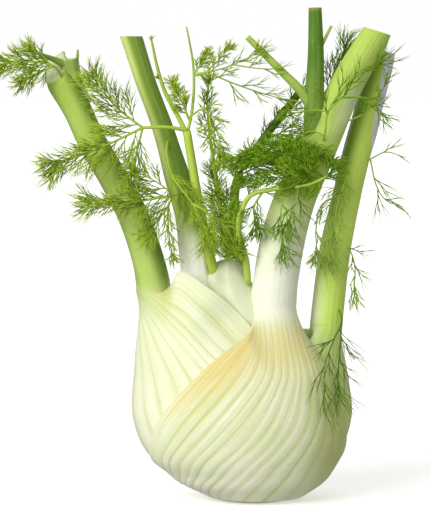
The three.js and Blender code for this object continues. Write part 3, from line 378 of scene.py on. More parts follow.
def growLeaf(leaf):
    # The rows of one whole leaf, its sheath first and then its stalk up to the cut.
    stalk = leaf["stalk"]
    first, top = stalk["keys"][0][0], stalk["top"]
    across = np.linspace(0, 1, leaf["samples"] + 1)
    profile, groove = ribProfile(leaf, across)
    margins = smooth(across / 0.1) * smooth((1 - across) / 0.1)
    lift = leaf["step"] * bulb["layerStep"]
    thick = mix(bulb["rim"], leaf["thickness"], np.sin(math.pi * across) ** 0.7)
    rows, along = [], []

    def addRow(outer, inner, at):
        rows.append(np.vstack([outer, inner[::-1], outer[:1]]))
        along.append(at)

    for at in np.linspace(0, 1, int(leaf["sheathRows"] * rowDensity)):
        keys = np.array([[place, *track(vein, at)] for place, vein in leaf["veins"]])
        phi, z = track(keys, across).T
        fade = smooth(at / 0.16) * mix(1, leaf["neckRib"], smooth((at - 0.55) / 0.4))
        rib = leaf["sheathRib"] * leaf["ribRise"] * profile * margins * fade
        tucked = leaf["tuck"] * smooth(1 - across / 0.3) * smooth((at - 0.5) / 0.14) * smooth((0.85 - at) / 0.1)
        height = first - (1 - at) * leaf["neckLength"]
        start = leaf["blendFrom"] + leaf["lobe"] * smooth(1 - across / 0.4)
        share = smooth((at - start) / (1 - start))[:, None]
        outer = mix(onBulb(phi, z, lift + rib - tucked), onStalk(stalk, height, across), share)
        inner = mix(onBulb(phi, z, lift - thick - tucked), onStalk(stalk, height, 2 - across), share)
        if at == 0:  # the foot is closed along its middle
            middle = (outer + inner) / 2
            addRow(middle, middle, 0.0)
        addRow(outer, inner, at)
    rib = leaf["ribRise"] * leaf["neckRib"] * profile * smooth(across / 0.05) * smooth((1 - across) / 0.05)
    for height in np.linspace(first, top, int((top - first) / leaf["rowStep"] * rowDensity) + 1)[1:]:
        centre, axis = stalkRow(stalk, height)[:2]
        outer = onStalk(stalk, height, across)
        outer = outer + unit(outer - centre) * rib[:, None]
        addRow(outer, onStalk(stalk, height, 2 - across), 1 + (height - first) / (top - first))
    caps = capRows(rows[-1], axis, leaf["sink"])
    points = np.array(rows + caps)
    shape = points.shape[:2]
    around = np.concatenate([across, 2 - across[::-1], [2.0]])
    return {
        "points": points,
        "places": gridPlaces(shape, around / 2),
        "across": np.broadcast_to(np.concatenate([across, across[::-1], across[:1]]), shape),
        "along": np.broadcast_to(np.array(along + [2.0] * len(caps))[:, None], shape),
        "groove": np.broadcast_to(np.concatenate([groove * margins, 0 * across, [0]]), shape),
        "faceSlots": np.repeat([0, 1], [len(rows) - 1, len(caps)]),
    }


def finishPiece(piece, slot, *nodes):
    bpy.ops.object.select_all(action="DESELECT")
    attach(piece, "root")
    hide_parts(*nodes)
    print("made", piece.name, len(piece.data.polygons), "faces")


def stemPiece(name, stem, materials):
    # A smaller stem or flap that grows out of a stalk, with fine ridges along it and a cut end.
    count, sides = int(stem.get("rows", 60) * rowDensity), stem.get("sides", 40)
    path = evenPath(stem["path"], count)
    share = np.linspace(0, 1, count)
    turn = np.linspace(0, 2 * math.pi, sides + 1)
    ahead = unit(np.gradient(path, axis=0))
    e1 = unit(np.cross(ahead, [0, 1, 0]))
    e2 = np.cross(ahead, e1) * stem.get("flat", 1.0)
    ridge = 1 + 0.03 * np.cos(9 * turn) + 0.015 * np.cos(17 * turn + 1)
    spokes = e1[:, None] * np.cos(turn)[:, None] + e2[:, None] * np.sin(turn)[:, None]
    rows = path[:, None] + mix(*stem["radius"], share ** 0.6)[:, None, None] * ridge[:, None] * spokes
    caps = np.array(capRows(rows[-1], ahead[-1], stem.get("sink", 0.2)))
    points = np.concatenate([np.repeat(path[:1, None], sides + 1, axis=1), rows, caps])
    shape = points.shape[:2]
    along = np.broadcast_to(np.concatenate([[0], share, np.ones(len(caps))])[:, None], shape)
    masks = {
        "green": mix(*stem["green"], along),
        "dark": mix(*stem["dark"], along),
        "groove": np.broadcast_to((0.5 - 0.5 * np.cos(9 * turn)) * 0.12, shape),
        "tan": smooth((along - 0.97) / 0.03) * 0.4,
    }
    places = gridPlaces(shape, np.linspace(0, 0.35, sides + 1), 0.7)
    return layGrid(name, points, places, masks, materials, np.repeat([0, 1], [1 + count, len(caps) - 1]))


def joinStems(piece, leaf, materials):
    stems = [stemPiece(name + "Stem", stem, materials) for name, stem in leaf["stems"].items()]
    bpy.ops.object.select_all(action="DESELECT")
    for part in [*stems, piece]:
        part.select_set(True)
    bpy.context.view_layer.objects.active = piece
    bpy.ops.object.join()


# The leaves, from the outermost in.

ivoryFlesh = {
    "base": srgb(243, 243, 219), "baseSoft": srgb(234, 237, 202), "lime": srgb(208, 220, 132),
    "stalk": srgb(166, 198, 62), "deep": srgb(74, 116, 8), "vein": srgb(186, 198, 108),
    "tan": srgb(226, 206, 122), "pale": srgb(244, 245, 226), "speck": srgb(206, 178, 118), "speckAmount": 0.3,
    "grain": {"Across": 150.0, "Along": 5.0, "Blotch": 45.0, "Speck": 600.0},
    "rough": (0.34, 0.5), "bump": 0.35, "soft": 0.25,
}


def flesh(**changes):  # the ivory flesh with some of its values changed
    return dict(ivoryFlesh, **changes)


def pithMaterial(name, look):
    # A cut face: pale wet pith with fine dots of vessels.
    material, tree, shader = newMaterial(name)
    spot = put(tree, "ShaderNodeTexCoord", -1200, 0).outputs["Object"]
    soft = noise(tree, spot, 260, 2, -1000, 200)
    dots = put(tree, "ShaderNodeTexVoronoi", -1000, -100)
    dots.inputs["Scale"].default_value = 900
    feed(tree, spot, dots.inputs["Vector"])
    wet = remap(tree, soft, 0.35, 0.65, 0, 1, -800, 200)
    dotted = remap(tree, dots.outputs["Distance"], 0.1, 0.35, 0.55, 0, -800, -100)
    colour = tint(tree, wet, look["pith"], look["wet"], -500, 200)
    feed(tree, tint(tree, dotted, colour, look["vessel"], -300, 200), shader.inputs["Base Color"])
    feed(tree, remap(tree, soft, 0.3, 0.7, 0.3, 0.55, -800, -300), shader.inputs["Roughness"])
    relief(tree, shader, soft, 0.4, 0.0003)
    setValues(shader, {"Subsurface Weight": 0.2, "Subsurface Radius": (1.0, 0.8, 0.4),
                       "Subsurface Scale": 0.002})
    return material


cutPale = pithMaterial("cutPale", {
    "pith": srgb(226, 232, 196), "wet": srgb(206, 217, 160), "vessel": srgb(160, 178, 98),
})
cutLilac = pithMaterial("cutLilac", {
    "pith": srgb(229, 223, 232), "wet": srgb(210, 206, 216), "vessel": srgb(186, 186, 180),
})

rightFront = {
    "slot": "front_sheath",
    "samples": 120, "sheathRows": 130, "rowStep": 1.15, "sheathRib": 0.42, "neckRib": 0.12, "sink": 0.5,
    "step": 2, "thickness": 5, "ribs": 15, "ribRise": 0.36,
    "blendFrom": 0.7, "lobe": 0.2, "neckLength": 34, "tuck": 0,
    "veins": [
        [0, [[0, -135, 3.3], [0.15, -91, 14], [0.32, -64, 26], [0.52, -45, 42], [0.74, -20, 63], [0.86, -3, 73.5],
             [1, 17, 84]]],
        [0.25, [[0, -104, 3.3], [0.15, -61, 12], [0.32, -32, 25], [0.52, -10, 42], [0.76, 9, 64], [1, 19, 87]]],
        [0.5, [[0, -64, 3.3], [0.15, -27, 12], [0.32, -1, 25], [0.52, 15, 42], [0.76, 25, 64], [1, 26, 90]]],
        [0.75, [[0, 2, 3.3], [0.15, 18, 12], [0.32, 31, 25], [0.52, 39, 42], [0.76, 39, 64], [1, 33, 89]]],
        [1, [[0, 108, 3.3], [0.15, 92, 14], [0.32, 74, 26], [0.52, 60, 43], [0.76, 51, 62], [1, 42, 84]]],
    ],
    "stalk": {
        "outward": [0.25, -1], "turn": 1, "groove": 0.25, "top": 215,
        "keys": [
            [92, 9.2, -10, 10.2, 10.6], [101, 10.1, -10, 10, 10.3], [122, 13.8, -9.5, 9.8, 10.1],
            [140, 19.3, -9, 9, 9.4], [156, 26.7, -8.5, 8.2, 8.7], [173, 34.5, -8, 7.6, 7.9],
            [190, 41.9, -7, 7.1, 7.5], [205, 50.6, -6, 6.8, 7.2], [215, 56.6, -5.5, 6.4, 6.8],
        ],
    },
    "stems": {
        "upright": {"path": [[29.5, -8, 160], [28, -9.3, 172], [27.8, -10, 184], [28.3, -10, 205],
                             [27.9, -10, 225.8]],
                    "radius": (6.3, 2.9), "green": (0.95, 1), "dark": (0.6, 1.2), "sink": 0.5},
        "leaning": {"path": [[28.5, -9, 176], [22.3, -11, 187], [12.4, -11, 197.3], [-2.8, -10, 212.5]],
                    "radius": (2.9, 1.3), "green": (0.95, 1), "dark": (0.4, 0.25), "flat": 1.15},
        "twig": {"path": [[29.5, -10, 205.5], [31.6, -10, 210], [35.3, -9.5, 217.6]],
                 "radius": (0.9, 0.65), "green": (1, 1), "dark": (0.4, 0.4), "sides": 12, "rows": 20},
    },
}


def makeRightFront():
    grown = growLeaf(rightFront)
    points, across, along = grown["points"], grown["across"], grown["along"]
    x, y, z = np.moveaxis(points, -1, 0)
    onSheath = 1 - smooth((along - 0.9) / 0.2)
    margin = smooth((0.26 - across) / 0.23) * smooth((along - 0.42) / 0.3) * smooth((0.98 - along) / 0.12)
    collar = np.exp(-(((z - 72) / 12) ** 2)) * smooth((1.15 - across) / 0.5) * (along < 1)
    # Painted shade: the lower right of the sheath, turned away from the key light, gets green, dark and tan, over
    # a side that is a little greener of itself.
    edge = smooth((x - 18) / 22) * smooth((84 - z) / 24) * (along < 1)
    middle = np.interp(z, [156, 173, 190, 205], [26.7, 34.5, 41.9, 50.6])
    patch = np.exp(-(((z - 181) / 10) ** 2)) * smooth((x - middle + 1) / 5) * (along > 1)
    masks = {
        # The green towards across 1 on the sheath and the dark towards across 1 up the stalk are painted shade on
        # the right side.
        "green": smooth((z - 106) / 48) * 0.95 + 0.12 * onSheath * smooth((across - 0.55) / 0.4)
        + 0.42 * edge,
        "dark": smooth((z - 150) / 60) * (0.12 + 0.3 * smooth((across - 0.6) / 0.4)) * (1 - patch)
        + 0.36 * edge,
        "lime": 0.45 * onSheath * smooth((z - 8) / 30) + 0.8 * smooth((z - 125) / 40),
        "groove": grown["groove"] * mix(0.7, 0.12, smooth((z - 76) / 20)),
        "tan": margin * 0.8 + collar * 0.65 + 0.3 * edge,
        "pale": smooth((z - 80) / 10) * smooth((132 - z) / 34) * 0.9 + patch * 0.45,
    }
    look = fleshMaterial("frontFlesh", flesh(stalk=srgb(184, 214, 74), deep=srgb(62, 112, 2)))
    piece = layGrid("frontRightStalk", points, grown["places"], masks, [look, cutPale], grown["faceSlots"])
    joinStems(piece, rightFront, [look, cutPale])
    finishPiece(piece, rightFront["slot"], "stalk_right_front")


left = {
    "slot": "left_sheath",
    "samples": 120, "sheathRows": 140, "rowStep": 1.15, "sheathRib": 0.42, "neckRib": 0.12, "sink": 0.7,
    "step": 1, "thickness": 7, "ribs": 15, "ribRise": 0.38,
    "blendFrom": 0.7, "lobe": 0.27, "neckLength": 30, "tuck": 4.5,
    "veins": [
        [0, [[0, 112, 3.3], [0.14, 88, 14], [0.3, 62, 32], [0.48, 36, 55], [0.64, 15, 76], [0.76, -1, 89.5],
             [0.85, -17, 98.5], [0.92, -31, 105], [0.965, -39, 105.5], [1, -43, 93.5]]],
        [0.2, [[0, 80, 3.3], [0.14, 62, 14], [0.3, 38, 30], [0.48, 14, 50], [0.64, -6, 65], [0.76, -20, 76],
             [0.86, -32, 85], [0.94, -41, 91], [1, -50, 93.5]]],
        [0.4, [[0, 30, 3.3], [0.14, 20, 14], [0.3, 5, 28], [0.48, -12, 45], [0.64, -25, 60], [0.76, -36, 72],
             [0.86, -46, 82], [0.94, -54, 89], [1, -60, 93.5]]],
        [0.6, [[0, -30, 3.3], [0.14, -36, 12], [0.3, -44, 25], [0.48, -52, 42], [0.64, -60, 58], [0.76, -67, 70],
             [0.86, -74, 80], [0.94, -80, 87], [1, -84, 93.5]]],
        [0.8, [[0, -130, 3.3], [0.14, -126, 12], [0.3, -121, 26], [0.48, -116, 42], [0.64, -112, 58],
             [0.76, -110, 70], [0.86, -109, 80], [0.94, -109, 87], [1, -110, 93.5]]],
        [1, [[0, -248, 3.3], [0.14, -232, 14], [0.3, -214, 30], [0.48, -197, 48], [0.64, -182, 62],
             [0.76, -170, 72], [0.86, -158, 81], [0.94, -147, 88], [1, -138, 93.5]]],
    ],
    "stalk": {
        "outward": [-1, 0], "turn": -1, "groove": 0.25, "top": 199, "slant": -4, "frontSlant": -5,
        "keys": [
            [96.6, -44.9, 0, 9, 9.8], [99.5, -44.95, 0, 8.9, 9.7], [111, -47.4, 0, 8.3, 9.2],
            [129, -53.4, 0.5, 8, 8.8], [143.5, -60.7, 1, 7.6, 8.4], [167, -74.1, 2, 7.3, 8],
            [179.5, -79.8, 2.5, 7.4, 8],
            [192, -86.9, 3, 7.6, 8], [199, -90.2, 3, 7.6, 8],
        ],
    },
    "stems": {
        "stub": {"path": [[-79, 3, 182], [-82.5, 1.5, 192], [-84.4, 0.5, 202.6]],
                 "radius": (5.2, 4.3), "green": (0.8, 0.9), "dark": (0.2, 0.5), "sink": 0.8},
        "fin": {"path": [[-82, -0.5, 193.2], [-78, -1.2, 194.4], [-74.3, -1.5, 195.2]],
                "radius": (2.6, 0.6), "green": (0.9, 1), "dark": (0.5, 0.6), "sides": 20, "rows": 20},
        "flap": {"path": [[-85, -1, 199.5], [-91, -1.4, 202.4], [-97, -1.5, 204.6]],
                 "radius": (2.2, 0.9), "green": (1, 1), "dark": (0.8, 0.7), "sides": 20, "rows": 20},
        "spike": {"path": [[-81.2, -0.5, 200], [-80.4, -0.5, 203.5], [-80.2, -0.5, 207]],
                  "radius": (1.1, 0.5), "green": (1, 1), "dark": (0.7, 0.5), "sides": 12, "rows": 16},
    },
}


def makeLeft():
    grown = growLeaf(left)
    points, across, along = grown["points"], grown["across"], grown["along"]
    x, y, z = np.moveaxis(points, -1, 0)
    onSheath = 1 - smooth((along - 0.9) / 0.2)
    axisX = np.interp(z, [96.6, 129, 167, 199], [-44.6, -53.4, -74.1, -90.2])
    shadedRightSide = smooth((x - axisX + 0.5) / 7)
    shadedLeftEdge = smooth((axisX - x - 4.5) / 4)
    notch = np.exp(-(((x + 41) / 5) ** 2 + ((z - 93) / 8) ** 2))
    stalk = smooth((-35 - x) / 6)
    masks = {
        "green": (smooth((z - 80) / 24) * 0.85 + 0.1 * smooth((z - 150) / 50)) * stalk
        + 0.08 * smooth((z - 70) / 20),
        # Painted shade: the stalk is painted darker along both sides where it turns from the key light, most on
        # the right.
        "dark": smooth((z - 90) / 14) * (0.85 * shadedRightSide + 0.5 * shadedLeftEdge) * stalk,
        "lime": onSheath * (0.1 + 0.3 * smooth((z - 45) / 40)) + 0.5 * smooth((z - 100) / 30),
        "groove": grown["groove"] * mix(0.6, 0.15, smooth((z - 88) / 20)),
        "tan": notch * 0.35 + 0.2 * smooth((0.02 - across) / 0.02) * onSheath,
        "pale": smooth((60 - z) / 60) * 0.3,
    }
    look = fleshMaterial("leftFlesh", flesh(stalk=srgb(172, 202, 74), deep=srgb(84, 124, 12)))
    piece = layGrid("leftStalk", points, grown["places"], masks, [look, cutPale], grown["faceSlots"])
    joinStems(piece, left, [look, cutPale])
    finishPiece(piece, left["slot"], "stalk_left")


right = {
    "slot": "right_sheath",
    "samples": 104, "sheathRows": 120, "rowStep": 1.15, "sheathRib": 0.42, "neckRib": 0.12, "sink": 0.5,
    "step": 0, "thickness": 9, "ribs": 13, "ribRise": 0.34,
    "blendFrom": 0.52, "lobe": 0, "neckLength": 26, "tuck": 0,
    "veins": [
        [0, [[0, -55, 3.3], [0.15, -35, 14], [0.32, -15, 28], [0.52, 5, 45], [0.76, 22, 64], [1, 40, 80]]],
        [0.25, [[0, 5, 3.3], [0.15, 20, 12], [0.32, 34, 26], [0.52, 46, 45], [0.76, 55, 64], [1, 62, 80]]],
        [0.5, [[0, 70, 3.3], [0.15, 74, 12], [0.32, 78, 26], [0.52, 82, 45], [0.76, 86, 64], [1, 90, 81]]],
        [0.75, [[0, 150, 3.3], [0.15, 145, 12], [0.32, 140, 26], [0.52, 135, 45], [0.76, 128, 64], [1, 118, 82]]],
        [1, [[0, 262, 3.3], [0.15, 240, 20], [0.32, 218, 42], [0.52, 198, 62], [0.76, 170, 82], [1, 140, 83]]],
    ],
    "stalk": {
        "outward": [1, 0.1], "turn": 1, "groove": 0.25, "top": 206,
        "keys": [
            [80, 33.1, 3, 8.3, 9], [89, 34, 4, 8.2, 8.8], [115, 37.3, 6, 7.9, 8.4],
            [142, 43.2, 8, 7.2, 7.8], [159, 47.2, 9, 7.2, 7.6], [171, 50.6, 9.6, 7.3, 7.6],
            [184, 54, 10.4, 7, 7.3], [195, 58, 11, 6.6, 7], [206, 62.4, 11, 6.3, 6.8],
        ],
    },
    "slice": [[61.2, 4.9, 206], [66.2, 16, 206], [55.3, 6.0, 165]],  # a long slanting cut down its right side
    "sliceAbove": 140, "sliceArea": 40,  # it starts above this height, and its face is larger than this
}


def makeRight():
    grown = growLeaf(right)
    points, across, along = grown["points"], grown["across"], grown["along"]
    x, y, z = np.moveaxis(points, -1, 0)
    onSheath = 1 - smooth((along - 0.8) / 0.3)
    middle = np.interp(z, [80, 115, 142, 171, 206], [33.1, 37.3, 43.2, 50.6, 62.4])
    # Painted shadow: the stalk's left side, behind the front stalk, is painted dark. Painted shade: the lower
    # sheath gets greener and darker towards +X, away from the key light, over a side that is a little greener of
    # itself.
    shaded = smooth((middle - x + 1) / 6)
    masks = {
        "green": np.maximum(smooth((z - 54) / 32), 0.6 * smooth(z / 40) * smooth((x - 12) / 20)),
        "dark": smooth((z - 112) / 50) * (0.05 + 0.8 * shaded) + 0.22 * onSheath * smooth((x - 18) / 16),
        "lime": 0.4 * onSheath + 0.4,
        "groove": grown["groove"] * mix(0.6, 0.2, smooth((z - 80) / 30)),
        "pale": 0.65 * np.exp(-(((x - 28.5 - 0.12 * (z - 86)) / 3.2) ** 2) - ((z - 88) / 15) ** 2),
    }
    look = fleshMaterial("rightFlesh", flesh(stalk=srgb(204, 234, 88), deep=srgb(82, 126, 10)))
    piece = layGrid("rightStalk", points, grown["places"], masks, [look, cutPale, cutLilac], grown["faceSlots"])
    a, b, c = [np.array(p) * metre for p in right["slice"]]
    normal = unit(np.cross(b - a, c - a))
    normal = normal * math.copysign(1, normal[0])
    bpy.ops.object.mode_set(mode="EDIT")
    bpy.ops.mesh.select_all(action="DESELECT")
    bpy.ops.object.mode_set(mode="OBJECT")
    centres = np.zeros(len(piece.data.polygons) * 3, np.float32)
    piece.data.polygons.foreach_get("center", centres)
    high = centres.reshape(-1, 3)[:, 2] > right["sliceAbove"] * metre
    piece.data.polygons.foreach_set("select", high)
    before = len(piece.data.polygons)
    bpy.ops.object.mode_set(mode="EDIT")
    bpy.ops.mesh.bisect(plane_co=a, plane_no=normal, use_fill=True, clear_outer=True)
    bpy.ops.object.mode_set(mode="OBJECT")
    for face in piece.data.polygons:  # the new face is the one that looks straight out of the slice
        if face.area > right["sliceArea"] * metre ** 2 and abs(face.normal.dot(normal)) > 0.99:
            face.material_index = 2
    print("sliced", before, "to", len(piece.data.polygons))
    finishPiece(piece, right["slot"], "stalk_right")


innerLeft = {
    "slot": "inner_stalk",
    "keys": [
        [5, -2, 0, 10, 12], [18, -8, 0, 17, 21], [35, -14, 0, 20, 24], [55, -19, 0, 19, 22],
        [75, -23.5, 0, 14.5, 17], [90, -25.2, 0, 9.6, 11], [101, -25.3, 0, 8, 9], [117, -26.7, 0, 7.8, 8.6],
        [131, -29, 0.4, 7.1, 7.8], [148, -34.5, 0.8, 6.3, 7], [160.5, -38.2, 1, 5.5, 6.2],
        [173.5, -42.3, 1.2, 5.1, 5.8], [192, -49.2, 1.6, 4.9, 5.4], [213, -55.9, 2, 5.2, 5.6],
    ],
    "rows": 220, "around": 96, "ridges": 14, "ridgeRise": 0.07, "sink": 0.5, "crease": 0, "creaseFrom": 0,
}

heart = {
    "slot": "heart",
    "keys": [
        [5, 2, 0, 12, 14], [18, 4, 0, 26, 24], [35, 5, 0, 33, 28], [55, 3, 0, 33, 27], [72, -1, 0, 28, 22],
        [84, -5, -0.5, 20, 18], [94, -9.2, -1.5, 13.2, 14], [100, -11.2, -2.2, 10.8, 11.6],
        [104, -12, -2.8, 9.3, 9.8], [107.5, -12, -3.2, 7.4, 7.8], [110, -11.8, -3.4, 4.6, 4.9],
        [111, -11.7, -3.5, 2.2, 2.4],
    ],
    "rows": 150, "around": 128, "ridges": 11, "ridgeRise": 0.05, "crease": 0.2, "creaseFrom": 93,
}


def bodyRows(body, heights):
    turn = np.linspace(0, 2 * math.pi, body["around"] + 1)
    turn[-1] = 0
    ridge = body["ridgeRise"] * np.cos(body["ridges"] * turn + 0.5 * np.sin(2 * turn))
    fold = np.maximum(0, np.cos(turn + 0.4)) ** 24
    rows = []
    for height in heights:
        x, y, wide, deep = track(body["keys"], height)
        crease = 1 - body["crease"] * smooth((height - body["creaseFrom"]) / 8) * fold
        rows.append(np.stack([
            x + (wide * crease + ridge) * np.sin(turn), y - (deep * crease + ridge) * np.cos(turn),
            np.full_like(turn, height),
        ], -1))
    return turn, rows


def makeInnerLeft():
    heights = np.linspace(5, 213, int(innerLeft["rows"] * rowDensity))
    turn, rows = bodyRows(innerLeft, heights)
    bottom = np.repeat(rows[0].mean(0)[None], len(turn), axis=0)
    lean = unit(rows[-1].mean(0) - rows[-4].mean(0))
    caps = capRows(rows[-1], lean, innerLeft["sink"])
    points = np.array([bottom, *rows, *caps])
    x, y, z = np.moveaxis(points, -1, 0)
    facing = np.broadcast_to(turn, z.shape)
    # Painted shade: the stalk is painted greener and darker on its right side and right rim, away from the key
    # light.
    shadedRightSide = smooth((np.sin(facing + 0.45) + 0.25) / 0.6)
    shadedRightRim = smooth((np.sin(facing + 0.2) - 0.55) / 0.3) * smooth((z - 98) / 8)
    leaf = smooth((z - 104) / 42)
    masks = {
        "green": np.maximum(leaf * mix(0.75, 1.0, shadedRightSide), 0.8 * shadedRightRim),
        "dark": np.maximum(shadedRightSide * 0.85 * smooth((z - 112) / 40), 0.5 * shadedRightRim),
        "lime": 0.3 + 0.5 * leaf,
        "groove": np.broadcast_to((0.5 - 0.5 * np.cos(14 * turn)) * 0.15, z.shape),
        "pale": smooth((128 - z) / 22) * (1 - shadedRightRim),
    }
    look = fleshMaterial("innerFlesh", flesh(
        stalk=srgb(204, 226, 104), deep=srgb(84, 128, 6), pale=srgb(253, 254, 240),
    ))
    places = gridPlaces(z.shape, np.linspace(0, 0.35, len(turn)))
    faceSlots = np.repeat([0, 1], [1 + len(rows), len(caps) - 1])
    piece = layGrid("innerLeftStalk", points, places, masks, [look, cutPale], faceSlots)
    finishPiece(piece, innerLeft["slot"], "stalk_left_inner")


def makeHeart():
    low = np.linspace(5, 90, int(60 * rowDensity))
    high = 90 + 21 * np.sin(np.linspace(0, math.pi / 2, int(heart["rows"] * rowDensity) - len(low)))[1:]
    turn, rows = bodyRows(heart, np.concatenate([low, high]))
    ends = [np.repeat(row.mean(0)[None], len(turn), axis=0) for row in (rows[0], rows[-1])]
    points = np.array([ends[0], *rows, ends[1]])
    x, y, z = np.moveaxis(points, -1, 0)
    facing = np.broadcast_to(turn, z.shape)
    # Painted shade: the hood's crease is painted dark and tan along the fold.
    fold = smooth((z - 95) / 8) * np.maximum(0, np.cos(facing + 0.4)) ** 30
    masks = {
        "green": np.full(z.shape, 0.12),
        "dark": fold * 0.45,
        "lime": np.full(z.shape, 0.3),
        "groove": np.broadcast_to((0.5 - 0.5 * np.cos(11 * turn)) * 0.2, z.shape),
        "tan": fold * 0.35,
        "pale": np.full(z.shape, 0.6),
    }
    look = fleshMaterial("heartFlesh", flesh(pale=srgb(224, 228, 204), vein=srgb(180, 194, 136)))
    piece = layGrid("heartLeaf", points, gridPlaces(z.shape, np.linspace(0, 0.5, len(turn))), masks, [look])
    finishPiece(piece, heart["slot"], "heart_leaf")


rootEnd = {
    "slot": "root_cut", "cutRadius": 16.0, "height": 2.9, "around": 96,
    # height, share of the width there, and how far it has widened from the cut to the bulb
    "profile": [
        (0, 0.0, 0), (0, 0.25, 0), (0, 0.55, 0), (0, 0.8, 0), (0, 0.95, 0), (0, 1.0, 0), (0.35, 1.012, 0.02),
        (1.0, 1.0, 0.3), (1.8, 1.0, 0.6), (2.9, 1.0, 1), (3.5, 0.93, 1), (5.5, 0.62, 1), (8, 0.3, 1),
        (8, 0.0, 1),
    ],
}


def makeRootEnd():
    # The trimmed stem: a brownish cut underneath, and a pale shoulder that the leaves grow from.
    turn = np.linspace(0, 2 * math.pi, rootEnd["around"] + 1)
    turn[-1] = 0
    shift, a, b = bulbSection(rootEnd["height"])
    uneven = 1 + 0.012 * np.sin(5 * turn + 1) + 0.008 * np.sin(11 * turn)
    rows = []
    for z, share, top in rootEnd["profile"]:
        reach = share * 0.985 * (1.0 if z > 2.5 else uneven)
        wide, deep = mix(rootEnd["cutRadius"], a, top), mix(rootEnd["cutRadius"] * 0.94, b, top)
        rows.append(np.stack([
            shift * top + wide * reach * np.sin(turn), -deep * reach * np.cos(turn), np.full_like(turn, z),
        ], -1))
    points = np.array(rows)
    shape = points.shape[:2]
    under = np.array([1.0 if z == 0 else (0.5 if z < 1 else 0.0) for z, share, top in rootEnd["profile"]])
    masks = {"lime": np.full(shape, 0.2), "tan": np.broadcast_to(0.25 + 0.6 * under[:, None], shape)}
    look = fleshMaterial("rootFlesh", flesh(
        tan=srgb(186, 150, 96), speck=srgb(140, 104, 60), speckAmount=0.7, bump=0.8,
    ))
    piece = layGrid("rootEnd", points, gridPlaces(shape, np.linspace(0, 1, len(turn))), masks, [look])
    finishPiece(piece, rootEnd["slot"], "root_end")


makeRightFront()
makeLeft()
makeRight()
makeInnerLeft()
makeHeart()
makeRootEnd()
print("bulb and stalks made")


# The fronds. Each is a few thin stems with side branches, and the branches carry forked needles.


def foliageMaterial(name, look):
    material, tree, shader = newMaterial(name)
    spot = put(tree, "ShaderNodeTexCoord", -1300, 0).outputs["Object"]
    patches = noise(tree, spot, 70, 2, -1100, 100)
    fine = noise(tree, spot, 1500, 2, -1100, -200)
    # Painted light and shade: the threads are painted lighter towards their tips, as lit, and stay darker at
    # their feet, as shaded.
    paintedTipLight = remap(tree, mask(tree, "tip", -1100, 500), 0.25, 1, 0, look["tipAmount"], -900, 500)
    fresher = remap(tree, patches, 0.35, 0.65, 0, 0.5, -800, 0)
    stem = mask(tree, "stem", -800, 700)
    colour = tint(tree, mask(tree, "hue", -1100, 350), look["dark"], look["mid"], -800, 300)
    for amount, paint, x in ((paintedTipLight, "tip", -600), (fresher, "fresh", -400), (stem, "stem", -200)):
        colour = tint(tree, amount, colour, look[paint], x, 300)
    feed(tree, colour, shader.inputs["Base Color"])
    feed(tree, remap(tree, fine, 0.3, 0.7, 0.45, 0.65, -400, -100), shader.inputs["Roughness"])
    relief(tree, shader, fine, 0.3, 0.0001)
    shader.inputs["Specular IOR Level"].default_value = 0.25
    return material


# The tip colours are painted light, the lit look of the thread ends.
greenLook = {
    "dark": srgb(84, 120, 6), "mid": srgb(146, 182, 26), "tip": srgb(200, 222, 78), "fresh": srgb(172, 204, 44),
    "stem": srgb(184, 208, 80), "tipAmount": 0.8,
}
leafGreen = foliageMaterial("frondGreen", greenLook)
deepGreen = foliageMaterial("frondDeepGreen", dict(
    greenLook, dark=srgb(44, 72, 3), mid=srgb(84, 122, 8), tip=srgb(134, 170, 28), fresh=srgb(106, 146, 16),
    stem=srgb(168, 194, 78), tipAmount=0.55,
))
paleGreen = foliageMaterial("palerGreen", dict(
    greenLook, dark=srgb(122, 158, 40), mid=srgb(172, 204, 78), tip=srgb(208, 228, 120), fresh=srgb(190, 218, 94),
))
clumpGreen = foliageMaterial("clumpGreen", dict(
    greenLook, dark=srgb(54, 92, 2), mid=srgb(106, 152, 8), tip=srgb(154, 194, 34), fresh=srgb(130, 174, 20),
    stem=srgb(180, 206, 88), tipAmount=0.7,
))


def stalkRoom():
    # The thick stalks as rows of balls, so that leaflets don't grow through them.
    found = []
    for keys, low in ((rightFront["stalk"]["keys"], 90), (left["stalk"]["keys"], 96),
                      (right["stalk"]["keys"], 80), (innerLeft["keys"], 100)):
        for height in np.arange(low, keys[-1][0], 2.5):
            x, y, wide, deep = track(keys, height)
            found.append([x, y, height, max(wide, deep) + 0.3])
    for stem in [*rightFront["stems"].values(), *left["stems"].values()]:
        radii = mix(*stem["radius"], np.linspace(0, 1, 14) ** 0.6) + 0.2
        found.extend([*p, radius] for p, radius in zip(evenPath(stem["path"], 14), radii))
    return np.array(found)


stalkBalls = stalkRoom()
roomInset = 0.25  # how far the threads stay inside the CAD's box
roomLow = np.array(cadLow) / metre + roomInset
roomHigh = np.array(cadHigh) / metre - roomInset
bulbRoom = {"top": 104, "gap": 3.0}  # below this height they keep this far off the bulb
hood = {"x": -11, "half": 13, "top": 111}  # the heart leaf's hood stays in sight


def blocked(p):
    if (p < roomLow).any() or (p > roomHigh).any():
        return True
    if p[2] < hood["top"] and abs(p[0] - hood["x"]) < hood["half"]:
        return True
    if (((stalkBalls[:, :3] - p) ** 2).sum(1) < stalkBalls[:, 3] ** 2).any():
        return True
    if p[2] < bulbRoom["top"]:
        shift, a, b = bulbSection(p[2]) + np.array([0, bulbRoom["gap"], bulbRoom["gap"]])
        return ((p[0] - shift) / a) ** 2 + (p[1] / b) ** 2 < 1
    return False


